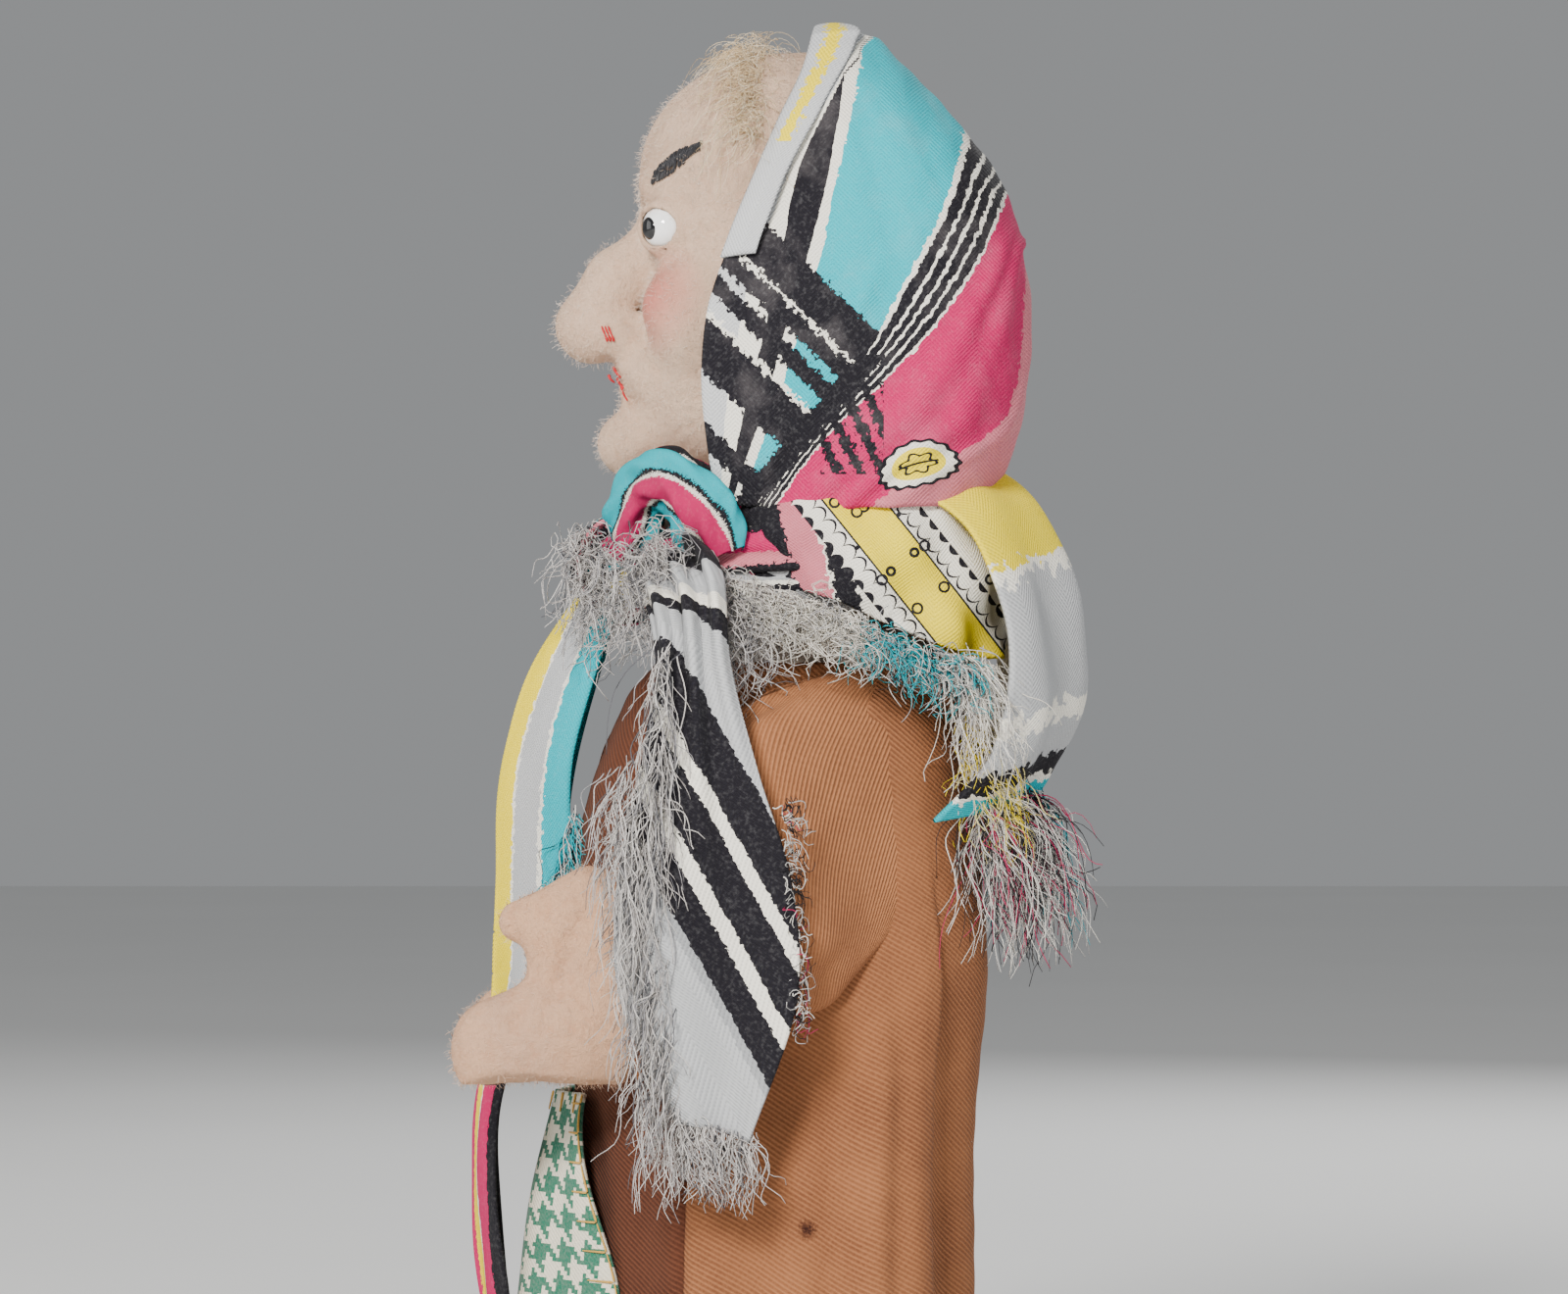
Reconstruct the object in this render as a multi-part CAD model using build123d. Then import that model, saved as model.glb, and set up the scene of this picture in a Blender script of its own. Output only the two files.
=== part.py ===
from build123d import *

import math
import os

# Glove puppet of an old woman. Millimetres, +Z up, face towards -Y, her left side towards +X.
# The origin is the middle of the hem opening, on the hem plane.

# ---- driving dimensions -------------------------------------------------------------------------
TOTAL_HEIGHT = 314.0            # hem to the top of the headscarf
SHELL_GAP = 0.5                 # air between neighbouring layers of cloth
TWILL = 1.6                     # thickness of the robe's twill
COTTON = 1.0                    # thickness of the under-dress and glove arms
FELT = 1.5                      # thickness of the head and hand felt
SCARF = 2.4                     # thickness of the folded kerchief

NECK_Y = 6.0                    # the neck tube's axis
NECK_BORE_R = 9.5               # finger hole
NECK_TUBE_R = 11.0
NECK_BOTTOM_Z = 168.0
NECK_LENGTH = 45.0
NOD_Z = 188.0                   # the nodding axis, at the gathered neckline
TURN_Z = 212.0                  # everything above this plane turns with the head

ROBE_TOP_Z = 180.0
FRONT_GAP = 14.0                # width of the robe's front opening
ARM_X = 40.0                    # the middle plane of each arm
SHOULDER = (5.0, 160.0)         # y and z of the arm's raising axis
WRIST_Y, WRIST_Z = -34.0, 118.0
HAND_THICKNESS = 15.0
FINGER_BORE_R = 7.0
FINGER_TUBE_R = 8.2
HAND_DROP = 25.0                # degrees the forearm points below the horizontal

EYE_C = (14.5, -24.5, 271.5)
EYE_R = 5.0

SIDES = ((1, "left"), (-1, "right"))

os.makedirs("parts", exist_ok=True)
NODES = {}


def keep(name, *solids):
    """Writes one node from one or more separate solids."""
    shape = solids[0] if len(solids) == 1 else Compound(children=list(solids))
    NODES[name] = shape
    export_step(shape, f"parts/{name}.step")


def ellipse_at(z, a, b, cy=0.0, cx=0.0):
    return Plane(origin=(cx, cy, z)) * Ellipse(a, b)


def ellipsoid(centre, radii):
    return Pos(*centre) * scale(Sphere(1.0), by=radii)


def box_between(low, high):
    size = [h - l for l, h in zip(low, high)]
    mid = [(h + l) / 2 for l, h in zip(low, high)]
    return Pos(*mid) * Box(*size)


def slab_yz(points, x0, x1):
    """A plate with its outline in the YZ plane, from x0 to x1."""
    face = Plane.YZ * make_face(Polyline(*points, close=True))
    return Pos(x0, 0, 0) * extrude(face, x1 - x0)


def slab_xz(points, y0, y1):
    """A plate with its outline in the XZ plane, from y0 to y1."""
    face = Plane.XZ * make_face(Polyline(*points, close=True))
    return Pos(0, y0, 0) * extrude(face, -(y1 - y0))


def rod(start, end, radius):
    """A round rod between two points."""
    start, end = Vector(*start), Vector(*end)
    run = end - start
    return Plane(origin=start, z_dir=run) * Cylinder(
        radius, run.length, align=(Align.CENTER, Align.CENTER, Align.MIN))


def mirrored(shape, side):
    """The shape itself on the left side (+X), its mirror image on the right."""
    return shape if side > 0 else mirror(shape, about=Plane.YZ)


# ---- robe and under-dress: stacked ellipses, (z, half width, half depth, middle y) --------------
ROBE_RINGS = [
    (0.0, 52.0, 43.0, -2.0),
    (48.0, 46.0, 40.5, -2.5),
    (100.0, 37.5, 41.0, -1.0),
    (140.0, 34.0, 40.0, -1.0),
    (165.0, 32.0, 36.0, 1.0),
    (ROBE_TOP_Z, 25.0, 26.5, 4.0),
]


def robe_form(inset):
    return loft([ellipse_at(z, a - inset, b - inset, cy) for z, a, b, cy in ROBE_RINGS])


def robe_shell(outer_inset, thickness):
    return robe_form(outer_inset) - robe_form(outer_inset + thickness)


def armhole(side):
    """The hole the finger passes through, from the glove into the sleeve."""
    hole = Pos(side * ARM_X, 4, 152) * Rotation(0, 90, 0) * Cylinder(13.0, 40)
    return hole


ARMHOLES = armhole(1) + armhole(-1)

robe = robe_shell(0, TWILL) - ARMHOLES
SEAM = SHELL_GAP / 2
back_half = box_between((-70, 4 + SEAM, -1), (70, 60, 200))
robe_back = robe & back_half
front_half = box_between((-70, -60, -1), (70, 4 - SEAM, 200))
robe_front = robe & front_half
keep("robe_back", robe_back)
for side, label in SIDES:
    near, far = sorted((side * FRONT_GAP / 2, side * 70))
    keep(f"robe_{label}_front", robe_front & box_between((near, -60, -1), (far, 60, 200)))

under_dress = robe_shell(TWILL + SHELL_GAP, COTTON) - ARMHOLES
keep("under_dress", under_dress & box_between((-70, -60, 2), (70, 60, 200)))

# ---- apron: a curved panel that stands out over the robe's front ---------------------------------
APRON_TOP_Z = 90.0
APRON_RINGS = [
    (3.0, 46.0, 53.0, -2.5),
    (48.0, 43.0, 52.0, -2.5),
    (APRON_TOP_Z, 40.0, 45.0, -1.5),
]
APRON_T = 1.4
apron_outer = loft([ellipse_at(z, a, b, cy) for z, a, b, cy in APRON_RINGS])
apron_inner = loft([ellipse_at(z, a - APRON_T, b - APRON_T, cy) for z, a, b, cy in APRON_RINGS])
APRON_HEM_W, APRON_TOP_W = 31.0, 15.0
apron_cut = slab_xz(
    [(-APRON_HEM_W, 3), (APRON_HEM_W, 3), (APRON_TOP_W, APRON_TOP_Z), (-APRON_TOP_W, APRON_TOP_Z)],
    -60, -20)
keep("apron_front", (apron_outer - apron_inner) & apron_cut)

STITCH_PITCH, STITCH_REACH, THREAD_R = 6.0, 4.0, 0.4


def apron_surface(x, z, out):
    """The point at (x, z) that stands out from the apron's face by out."""
    low, high = (APRON_RINGS[0], APRON_RINGS[1]) if z < 48 else (APRON_RINGS[1], APRON_RINGS[2])
    u = (z - low[0]) / (high[0] - low[0])
    a, b, cy = [low[i] + u * (high[i] - low[i]) for i in (1, 2, 3)]
    return x, cy - (b + out) * math.sqrt(1 - (x / (a + out)) ** 2), z


blanket = []
for side in (1, -1):
    for i in range(int((APRON_TOP_Z - 14) / STITCH_PITCH)):
        z = 10 + i * STITCH_PITCH
        edge = APRON_HEM_W + (APRON_TOP_W - APRON_HEM_W) * (z - 3) / (APRON_TOP_Z - 3) - 1.0
        blanket.append(rod(apron_surface(side * edge, z, 1.2),
                           apron_surface(side * (edge - STITCH_REACH), z + 1, 1.2), THREAD_R))
keep("apron_blanket_stitches", *blanket)

# ---- arms ----------------------------------------------------------------------------------------
ARM_DIR = (0.0, -math.cos(math.radians(HAND_DROP)), -math.sin(math.radians(HAND_DROP)))


def arm_ring(y, z, dy, dz, half_x, half_h, points=12):
    """An oval across the arm: half_x sideways, half_h up and down, facing along (dy, dz)."""
    plane = Plane(origin=(ARM_X, y, z), x_dir=(1, 0, 0), z_dir=(0, dy, dz))
    turns = [2 * math.pi * i / points for i in range(points)]
    oval = Spline(*[(half_x * math.cos(t), half_h * math.sin(t)) for t in turns], periodic=True)
    return plane * make_face(oval)


SLEEVE_RINGS = [                # y, z, direction (y, z), half width, half height
    (19.0, 160.0, -1.0, -0.25, 11.0, 23.0),
    (-6.0, 142.0, -1.0, -0.60, 13.0, 27.0),
    (-30.5, 120.0, -1.0, -0.20, 12.0, 23.5),
]


def arm_tube(shrink, thickness):
    """A cloth tube from the armhole to the wrist; shrink makes it slimmer all round."""
    outer = loft([arm_ring(*r[:4], r[4] - shrink, r[5] - shrink * 2) for r in SLEEVE_RINGS])
    inset = shrink + thickness
    inner = loft([arm_ring(*r[:4], r[4] - inset, r[5] - shrink * 2 - thickness)
                  for r in SLEEVE_RINGS])
    return outer - inner


robe_outside = robe_form(-SHELL_GAP)
sleeve = (arm_tube(0, TWILL) - robe_outside).solids().sort_by(SortBy.VOLUME)[-1]
glove_arm = (arm_tube(2.2, COTTON) - robe_outside).solids().sort_by(SortBy.VOLUME)[-1]

FINGER_TUBE_LENGTH = 9.0
tube_end = Vector(ARM_X, WRIST_Y + 4.5, WRIST_Z + 2.0)
tube_start = tube_end - Vector(*ARM_DIR) * FINGER_TUBE_LENGTH
finger_tube = (rod(tube_start, tube_end, FINGER_TUBE_R)
               - rod(tube_start, tube_end, FINGER_BORE_R))


def hand_form(inset):
    """The mitten: palm, fingers and a thumb, slimmer by inset all round."""
    half_t = HAND_THICKNESS / 2 - inset
    palm = loft([arm_ring(-37.5 - inset, 118, -1, 0, half_t - 0.5, 21.5 - inset),
                 arm_ring(-47.0, 112, -1, -0.15, half_t, 20.5 - inset),
                 arm_ring(-58.0, 103, -1, -0.30, half_t, 12.5 - inset),
                 arm_ring(-66.5 + inset, 99, -1, -0.30, half_t - 3.0, 7.0 - inset)])
    thumb = loft([arm_ring(-40.0, 128, -1, -0.40, half_t - 1.0, 9.0 - inset),
                  arm_ring(-50.0, 126, -1, -0.40, half_t - 1.5, 6.5 - inset),
                  arm_ring(-58.0 + inset, 123.5, -1, -0.40, half_t - 3.5, 3.5 - inset)])
    return palm + thumb


hand_skin = hand_form(0) - hand_form(FELT)
hand_stuffing = hand_form(FELT + 0.2)
DIMPLE_X = ARM_X + HAND_THICKNESS / 2 + 0.9
dimple = rod((DIMPLE_X, -53.5, 111.5), (DIMPLE_X, -56.5, 108.0), 0.45)

for side, label in SIDES:
    keep(f"{label}_sleeve", mirrored(sleeve, side))
    keep(f"{label}_glove_arm", mirrored(glove_arm, side))
    keep(f"{label}_finger_tube", mirrored(finger_tube, side))
    outer_half = hand_skin & box_between((ARM_X + 0.02, -80, 60), (ARM_X + 20, -20, 170))
    inner_half = hand_skin & box_between((ARM_X - 20, -80, 60), (ARM_X - 0.02, -20, 170))
    keep(f"{label}_mitten_back", mirrored(outer_half, side))
    keep(f"{label}_mitten_palm", mirrored(inner_half, side))
    keep(f"{label}_mitten_stuffing", mirrored(hand_stuffing, side))
    keep(f"{label}_mitten_stitch", mirrored(dimple, side))

# ---- neck ----------------------------------------------------------------------------------------
neck_axis = Pos(0, NECK_Y, 0)
neck_tube = neck_axis * Pos(0, 0, NECK_BOTTOM_Z) * (
    Cylinder(NECK_TUBE_R, NECK_LENGTH, align=(Align.CENTER, Align.CENTER, Align.MIN))
    - Cylinder(NECK_BORE_R, NECK_LENGTH, align=(Align.CENTER, Align.CENTER, Align.MIN)))
keep("neck_tube", neck_tube)

GATHER_RINGS = [                # z, half width, half depth, middle y
    (ROBE_TOP_Z + 0.6, 22.0, 22.5, 4.5),
    (NOD_Z - 1.0, 15.0, 15.0, NECK_Y),
    (NOD_Z + 3.0, 12.7, 12.7, NECK_Y),
    (NOD_Z + 9.0, 13.4, 13.4, NECK_Y),
]
gather_outer = loft([ellipse_at(*r) for r in GATHER_RINGS])
gather_inner = loft([ellipse_at(z, a - COTTON, b - COTTON, cy) for z, a, b, cy in GATHER_RINGS])
keep("neck_gather", gather_outer - gather_inner)
keep("neck_binding", neck_axis * Pos(0, 0, NOD_Z + 3.0) * Torus(13.9, 0.8))

WRAP_BOTTOM_Z, WRAP_TOP_Z = 193.0, TURN_Z - 0.5
WRAP_HOLE_R = 15.2
wrap = (Pos(0, NECK_Y, 0) * loft([Plane(origin=(0, 0, WRAP_BOTTOM_Z)) * Ellipse(24, 23),
                                  Plane(origin=(0, 0, 202)) * Ellipse(30, 29),
                                  Plane(origin=(0, 0, WRAP_TOP_Z)) * Ellipse(28, 27)])
        - neck_axis * Pos(0, 0, 200) * Cylinder(WRAP_HOLE_R, 40))
keep("scarf_neck_wrap", wrap)

KNOT_C, KNOT_R = (0.0, -33.0, 200.5), (12.0, 8.5, 8.5)
wrap_clearance = Pos(0, NECK_Y, 200) * scale(Cylinder(1.0, 40), by=(31, 30, 1))
knot = ellipsoid(KNOT_C, KNOT_R) - wrap_clearance
keep("scarf_knot", knot)

# ---- head ----------------------------------------------------------------------------------------


HEAD_RINGS = [                  # z, half width, half depth, middle y
    (TURN_Z + 1.2, 15.0, 17.0, 2.0),
    (219.0, 17.5, 24.0, -9.5),
    (228.0, 21.0, 28.5, -10.0),
    (238.0, 24.5, 28.5, -6.5),
    (250.0, 28.5, 33.0, 2.0),
    (262.0, 32.0, 37.0, 6.0),
    (275.0, 33.0, 37.5, 7.0),
    (288.0, 29.5, 34.0, 6.0),
    (298.0, 22.0, 26.5, 5.0),
    (305.5, 10.0, 12.0, 4.0),
]
NOSE_TIP_C, NOSE_TIP_R = (0.0, -39.5, 252.0), 8.0
NOSE_TOP = (0.0, -25.0, 270.0)


def head_form(inset):
    """Skull, jaw and chin, slimmer by inset all round."""
    low, high = HEAD_RINGS[0][0], HEAD_RINGS[-1][0]
    squeeze = (high - low - 2 * inset) / (high - low)
    rings = [(low + inset + (z - low) * squeeze, a - inset, b - inset, cy)
             for z, a, b, cy in HEAD_RINGS]
    return loft([ellipse_at(*ring) for ring in rings])


def on_face(x, z, out):
    """The point at (x, z) in front of the face, standing out from it by out."""
    above = next(i for i, ring in enumerate(HEAD_RINGS) if ring[0] > z)
    low, high = HEAD_RINGS[above - 1], HEAD_RINGS[above]
    u = (z - low[0]) / (high[0] - low[0])
    a, b, cy = [low[i] + u * (high[i] - low[i]) + (out if i < 3 else 0) for i in (1, 2, 3)]
    return x, cy - b * math.sqrt(1 - (x / a) ** 2), z


neck_hole = neck_axis * Pos(0, 0, 213) * Cylinder(NECK_TUBE_R + 0.4, 30)
eye_sockets = [Pos(side * EYE_C[0], EYE_C[1], EYE_C[2]) * Sphere(EYE_R + 0.4)
               for side, label in SIDES]
SHANK_START, SHANK_END = (14.1, -19.3, 271.0), (12.0, -6.0, 268.5)


def shank_rod(side, radius, spare):
    """The wire behind the eye, or the hole for it, longer by spare at both ends."""
    start, end = Vector(*SHANK_START), Vector(*SHANK_END)
    step = (end - start).normalized() * spare
    return mirrored(rod(start - step, end + step, radius), side)


head_inside = head_form(FELT)
nose_run = Vector(*NOSE_TIP_C) - Vector(*NOSE_TOP)
bridge = Plane(origin=NOSE_TOP, z_dir=nose_run) * Cone(
    6.0, 7.2, nose_run.length, align=(Align.CENTER, Align.CENTER, Align.MIN))
nose = (bridge + Pos(*NOSE_TIP_C) * Sphere(NOSE_TIP_R)) - head_inside
nose = nose.solids().sort_by(SortBy.VOLUME)[-1]
head_skin = ((head_form(0) - head_inside) + nose) - neck_hole - eye_sockets
keep("head_skin", head_skin.solids().sort_by(SortBy.VOLUME)[-1])

SHANK_R = 0.5
stuffing = head_form(FELT + 0.2) - neck_hole - eye_sockets
for side, label in SIDES:
    stuffing -= shank_rod(side, SHANK_R + 0.3, 1.0)
keep("head_stuffing", stuffing.solids().sort_by(SortBy.VOLUME)[-1])

LOOK = Vector(0.72, -0.68, -0.10).normalized()
PUPIL_R, PUPIL_T = 2.5, 0.25
pupil_core = rod(EYE_C, Vector(*EYE_C) + LOOK * 8.0, PUPIL_R)
pupil = ((Pos(*EYE_C) * Sphere(EYE_R + PUPIL_T)) & pupil_core) - Pos(*EYE_C) * Sphere(EYE_R)
for side, label in SIDES:
    keep(f"{label}_eye", mirrored(Pos(*EYE_C) * Sphere(EYE_R), side))
    keep(f"{label}_pupil", mirrored(pupil.solids().sort_by(SortBy.VOLUME)[-1], side))
    keep(f"{label}_eye_shank", shank_rod(side, SHANK_R, 0))

BROW_STITCHES, BROW_R = 6, 0.9
BROW_START, BROW_END = (9.5, 282.0), (20.5, 288.5)
brow = []
for i in range(BROW_STITCHES):
    t = (i + 0.5) / BROW_STITCHES
    x, z = [a + t * (b - a) for a, b in zip(BROW_START, BROW_END)]
    brow.append(rod(on_face(x - 0.7, z + 1.2, BROW_R + 0.7),
                    on_face(x + 0.7, z - 1.2, BROW_R + 0.7), BROW_R))
for side, label in SIDES:
    keep(f"{label}_eyebrow", *[mirrored(b, side) for b in brow])

MOUTH_R = 0.5
mouth = [rod(on_face(x, 240.6, MOUTH_R + 0.6),
             on_face(x + 1.2, 237.6, MOUTH_R + 0.6), MOUTH_R)
         for x in (-6.6, -3.6, -0.6, 2.4, 5.4)]
keep("mouth_stitches", *mouth)
nostrils = [Pos(side * (NOSE_TIP_R + 0.8), NOSE_TIP_C[1] + 1.5, NOSE_TIP_C[2] - 2.5) * Rotation(
    25, 0, 0) * Cylinder(0.6, 3.0) for side, label in SIDES]
keep("nostril_stitches", *nostrils)

# ---- hair and headscarf --------------------------------------------------------------------------
HOOD_BOTTOM_Z = TURN_Z + 1.0
HOOD_TOP_Z = TOTAL_HEIGHT - 1.1
HOOD_RINGS = [                  # z, half width, half depth, middle y
    (HOOD_BOTTOM_Z, 31.5, 33.0, 8.0),
    (226.0, 33.0, 37.0, 8.0),
    (244.0, 36.0, 41.5, 8.5),
    (262.0, 37.5, 43.0, 8.0),
    (280.0, 35.5, 41.0, 8.0),
    (296.0, 29.0, 34.5, 7.5),
    (307.0, 19.5, 24.0, 7.0),
    (HOOD_TOP_Z - 1.0, 8.0, 10.0, 7.0),
]


def hood_form(inset):
    """The outside of the scarf over the head, slimmer and lower by inset."""
    span = HOOD_TOP_Z - HOOD_BOTTOM_Z
    rings = [(HOOD_BOTTOM_Z + (z - HOOD_BOTTOM_Z) * (span - inset) / span, a - inset, b - inset, cy)
             for z, a, b, cy in HOOD_RINGS]
    return loft([ellipse_at(*ring) for ring in rings])


# front edge of the hood from the crown to the jaw, (y, z); the cloth lies behind it
HOOD_EDGE = [(8, 330), (8, 313), (0, 293), (-6, 279), (-11, 266.5), (-15.5, 254), (-16.5, 240),
             (-16, 226), (-15.5, HOOD_BOTTOM_Z - 5)]


def behind_edge(shift, x_reach):
    """Everything behind the hood's front edge, moved back by shift."""
    edge = [(y + shift, z) for y, z in HOOD_EDGE]
    return slab_yz(edge + [(70, HOOD_BOTTOM_Z - 5), (70, 330)], -x_reach, x_reach)


keep("scarf_hood", (hood_form(0) - hood_form(SCARF)) & behind_edge(0, 60))

FOLD_WIDTH, FOLD_BOTTOM_Z, FOLD_T = 9.0, 246.0, 1.5
fold_band = (behind_edge(0.2, 60) - behind_edge(FOLD_WIDTH, 61)) & box_between(
    (-60, -60, FOLD_BOTTOM_Z), (60, 60, 330))
keep("scarf_front_fold", (hood_form(-0.3 - FOLD_T) - hood_form(-0.3)) & fold_band)

HAIR_T, HAIR_BOTTOM_Z, HAIR_W = 3.0, 289.0, 24.0
hair_band = (behind_edge(-7.0, HAIR_W) - behind_edge(-0.6, HAIR_W + 1)) & box_between(
    (-60, -60, HAIR_BOTTOM_Z), (60, 60, 330))
hair = ((head_form(-0.6 - HAIR_T) - head_form(-0.6)) & hair_band).solids()
keep("hair_front", hair.sort_by(SortBy.VOLUME)[-1])

# ---- hanging ends of the kerchief ----------------------------------------------------------------
TAIL_X = 54.0                   # inner face of the left tail, clear of the sleeve
TAIL_T = 3.0
tail_drop = slab_yz([(-26, 181), (-11, 181), (2, 128), (-1, 108), (-8, 84), (-14, 84),
                     (-27, 106), (-33, 128)], TAIL_X, TAIL_X + TAIL_T)
tail_bridge = slab_xz([(13.5, 199), (13.5, 194.5), (44, 190), (TAIL_X, 178),
                       (TAIL_X + TAIL_T, 178), (TAIL_X + TAIL_T, 181), (45, 195)], -26, -12)
keep("left_tail", (tail_drop + tail_bridge) - wrap_clearance)
keep("left_tail_fringe",
     slab_yz([(-37, 128), (-31, 104), (-16, 81.5), (-6, 79.5), (-6, 83.5), (-14.3, 83.5),
              (-27.5, 105.6), (-33.5, 128)], TAIL_X, TAIL_X + 2.0))

FRONT_TAIL_W = 15.0
keep("front_tail", slab_yz([(-36.5, 190), (-46, 190), (-53, 178), (-58, 163), (-60.5, 134),
                            (-61.5, 110), (-65, 80), (-64, 46), (-59.6, 46), (-59.6, 92),
                            (-53.5, 115), (-51, 140), (-47, 160), (-41, 178)],
                           -FRONT_TAIL_W / 2, FRONT_TAIL_W / 2))
keep("front_tail_fringe", slab_yz([(-64, 45.6), (-62.5, 30), (-60, 30), (-59.6, 45.6)],
                                  -FRONT_TAIL_W / 2, FRONT_TAIL_W / 2))

DRAPE_W = 46.0
keep("back_drape", slab_yz([(37, 209), (48, 209), (56, 194), (61, 172), (64, 152), (53, 150),
                            (48, 172), (42.5, 192)], -DRAPE_W / 2, DRAPE_W / 2))
keep("back_drape_fringe", slab_yz([(53, 149.6), (64, 151.6), (71, 142), (68, 122), (58, 110),
                                   (52, 114)], -DRAPE_W / 2 + 3, DRAPE_W / 2 - 3))

top = max(n.bounding_box().max.Z for n in NODES.values())
print(len(NODES), "nodes; top at", round(top, 1), "of", TOTAL_HEIGHT)
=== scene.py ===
import math

import bpy
import numpy as np
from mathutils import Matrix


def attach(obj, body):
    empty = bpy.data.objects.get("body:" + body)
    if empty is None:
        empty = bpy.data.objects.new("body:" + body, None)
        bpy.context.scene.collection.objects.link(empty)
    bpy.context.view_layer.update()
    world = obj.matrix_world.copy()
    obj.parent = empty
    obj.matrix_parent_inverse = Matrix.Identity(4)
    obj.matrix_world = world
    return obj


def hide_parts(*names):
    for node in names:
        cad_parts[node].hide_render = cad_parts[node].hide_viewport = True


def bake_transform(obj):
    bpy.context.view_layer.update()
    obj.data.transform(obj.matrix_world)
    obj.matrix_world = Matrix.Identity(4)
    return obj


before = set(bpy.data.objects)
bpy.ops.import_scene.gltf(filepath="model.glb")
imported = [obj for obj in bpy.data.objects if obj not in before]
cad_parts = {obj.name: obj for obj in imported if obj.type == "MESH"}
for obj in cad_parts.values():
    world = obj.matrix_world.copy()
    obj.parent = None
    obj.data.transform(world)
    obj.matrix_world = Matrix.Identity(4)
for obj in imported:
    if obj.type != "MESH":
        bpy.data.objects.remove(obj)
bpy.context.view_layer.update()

MM = 0.001                       # the shapes below are worked out in millimetres
UP = np.array([0.0, 0.0, 1.0])
SIDES = ((1, "left"), (-1, "right"))


# ---- meshes from arrays --------------------------------------------------------------------------
def make_piece(name, points, faces, uv=None, smooth=True):
    """A mesh object from points in millimetres; uv gives one (u, v) for each point."""
    mesh = bpy.data.meshes.new(name)
    mesh.from_pydata((np.asarray(points, float) * MM).tolist(), [], [list(f) for f in faces])
    if uv is not None:
        layer = mesh.uv_layers.new(name="Cloth")
        corner = np.zeros(len(mesh.loops), np.int32)
        mesh.loops.foreach_get("vertex_index", corner)
        layer.data.foreach_set("uv", np.asarray(uv, np.float32)[corner].ravel())
    mesh.polygons.foreach_set("use_smooth", np.full(len(mesh.polygons), smooth))
    mesh.update()
    piece = bpy.data.objects.new(name, mesh)
    bpy.context.scene.collection.objects.link(piece)
    return piece


def grid_faces(rows, columns, closed=False):
    """Quads of a grid of rows x columns points; closed joins its last column to its first."""
    last = columns if closed else columns - 1
    i, j = np.meshgrid(np.arange(rows - 1), np.arange(last), indexing="ij")
    k = (j + 1) % columns
    quads = np.stack([i * columns + j, i * columns + k, (i + 1) * columns + k,
                      (i + 1) * columns + j], -1)
    return quads.reshape(-1, 4)


def sheet_grid(name, rows, columns, place, pattern, closed=False, thickness=0.9):
    """A cloth surface: place(v, u) gives its points, pattern(v, u, points) its print's (s, t)."""
    v, u = np.meshgrid(np.linspace(0, 1, rows), np.linspace(0, 1, columns, endpoint=not closed),
                       indexing="ij")
    points = place(v, u)
    uv = np.stack(pattern(v, u, points), -1).reshape(-1, 2)
    piece = make_piece(name, points.reshape(-1, 3), grid_faces(rows, columns, closed), uv)
    if thickness:
        thicken(piece, thickness)
    return piece


def thicken(piece, thickness):
    layer = piece.modifiers.new("thickness", "SOLIDIFY")
    layer.thickness = thickness * MM
    layer.offset = 0.0


def curve_through(stations, values, at):
    """A smooth curve through given values, read at any station."""
    stations, values, at = np.asarray(stations, float), np.asarray(values, float), np.asarray(at)
    if stations[0] > stations[-1]:
        stations, values = stations[::-1], values[::-1]
    slope = np.gradient(values, stations)
    at = np.clip(at, stations[0], stations[-1])
    k = np.clip(np.searchsorted(stations, at, side="right") - 1, 0, len(stations) - 2)
    h = stations[k + 1] - stations[k]
    t = (at - stations[k]) / h
    return ((2 * t ** 3 - 3 * t ** 2 + 1) * values[k] + (t ** 3 - 2 * t ** 2 + t) * h * slope[k]
            + (3 * t ** 2 - 2 * t ** 3) * values[k + 1] + (t ** 3 - t ** 2) * h * slope[k + 1])


def bump(x, middle, width):
    return np.exp(-((x - middle) / width) ** 2)


def ramp(x, low, high):
    """0 below low, 1 above high, smooth between."""
    t = np.clip((x - low) / (high - low), 0, 1)
    return t * t * (3 - 2 * t)


def wander(seed, *coordinates):
    """Smooth, repeatable unevenness of about -1 to 1, from a few slanted waves."""
    rng = np.random.default_rng(seed)
    total = 0
    for octave in range(5):
        phase = rng.uniform(0, 2 * math.pi)
        slants = rng.normal(0, 1, len(coordinates)) * 1.45 ** octave
        wave = np.sin(sum(k * c for k, c in zip(slants, coordinates)) + phase)
        total = total + wave / 1.35 ** octave
    return total / 2.2


# ---- solids from distance fields -----------------------------------------------------------------
def ball(p, centre, radii):
    """Distance, roughly, to an ellipsoid."""
    q = p - np.asarray(centre, float)
    r = np.asarray(radii, float)
    near, far = np.linalg.norm(q / r, axis=-1), np.linalg.norm(q / r ** 2, axis=-1)
    return near * (near - 1) / np.maximum(far, 1e-6)


def cone(p, start, end, r0, r1):
    """Distance to a rod with round ends, r0 at its start and r1 at its end."""
    start, run = np.asarray(start, float), np.asarray(end, float) - np.asarray(start, float)
    t = np.clip(((p - start) @ run) / (run @ run), 0, 1)
    return np.linalg.norm(p - start - t[..., None] * run, axis=-1) - (r0 + t * (r1 - r0))


def soft_union(first, *others, blend=4.0):
    """Solids joined with a fillet of about blend."""
    out = first
    for other in others:
        h = np.clip(0.5 + 0.5 * (other - out) / blend, 0, 1)
        out = other * (1 - h) + out * h - blend * h * (1 - h)
    return out


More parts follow.
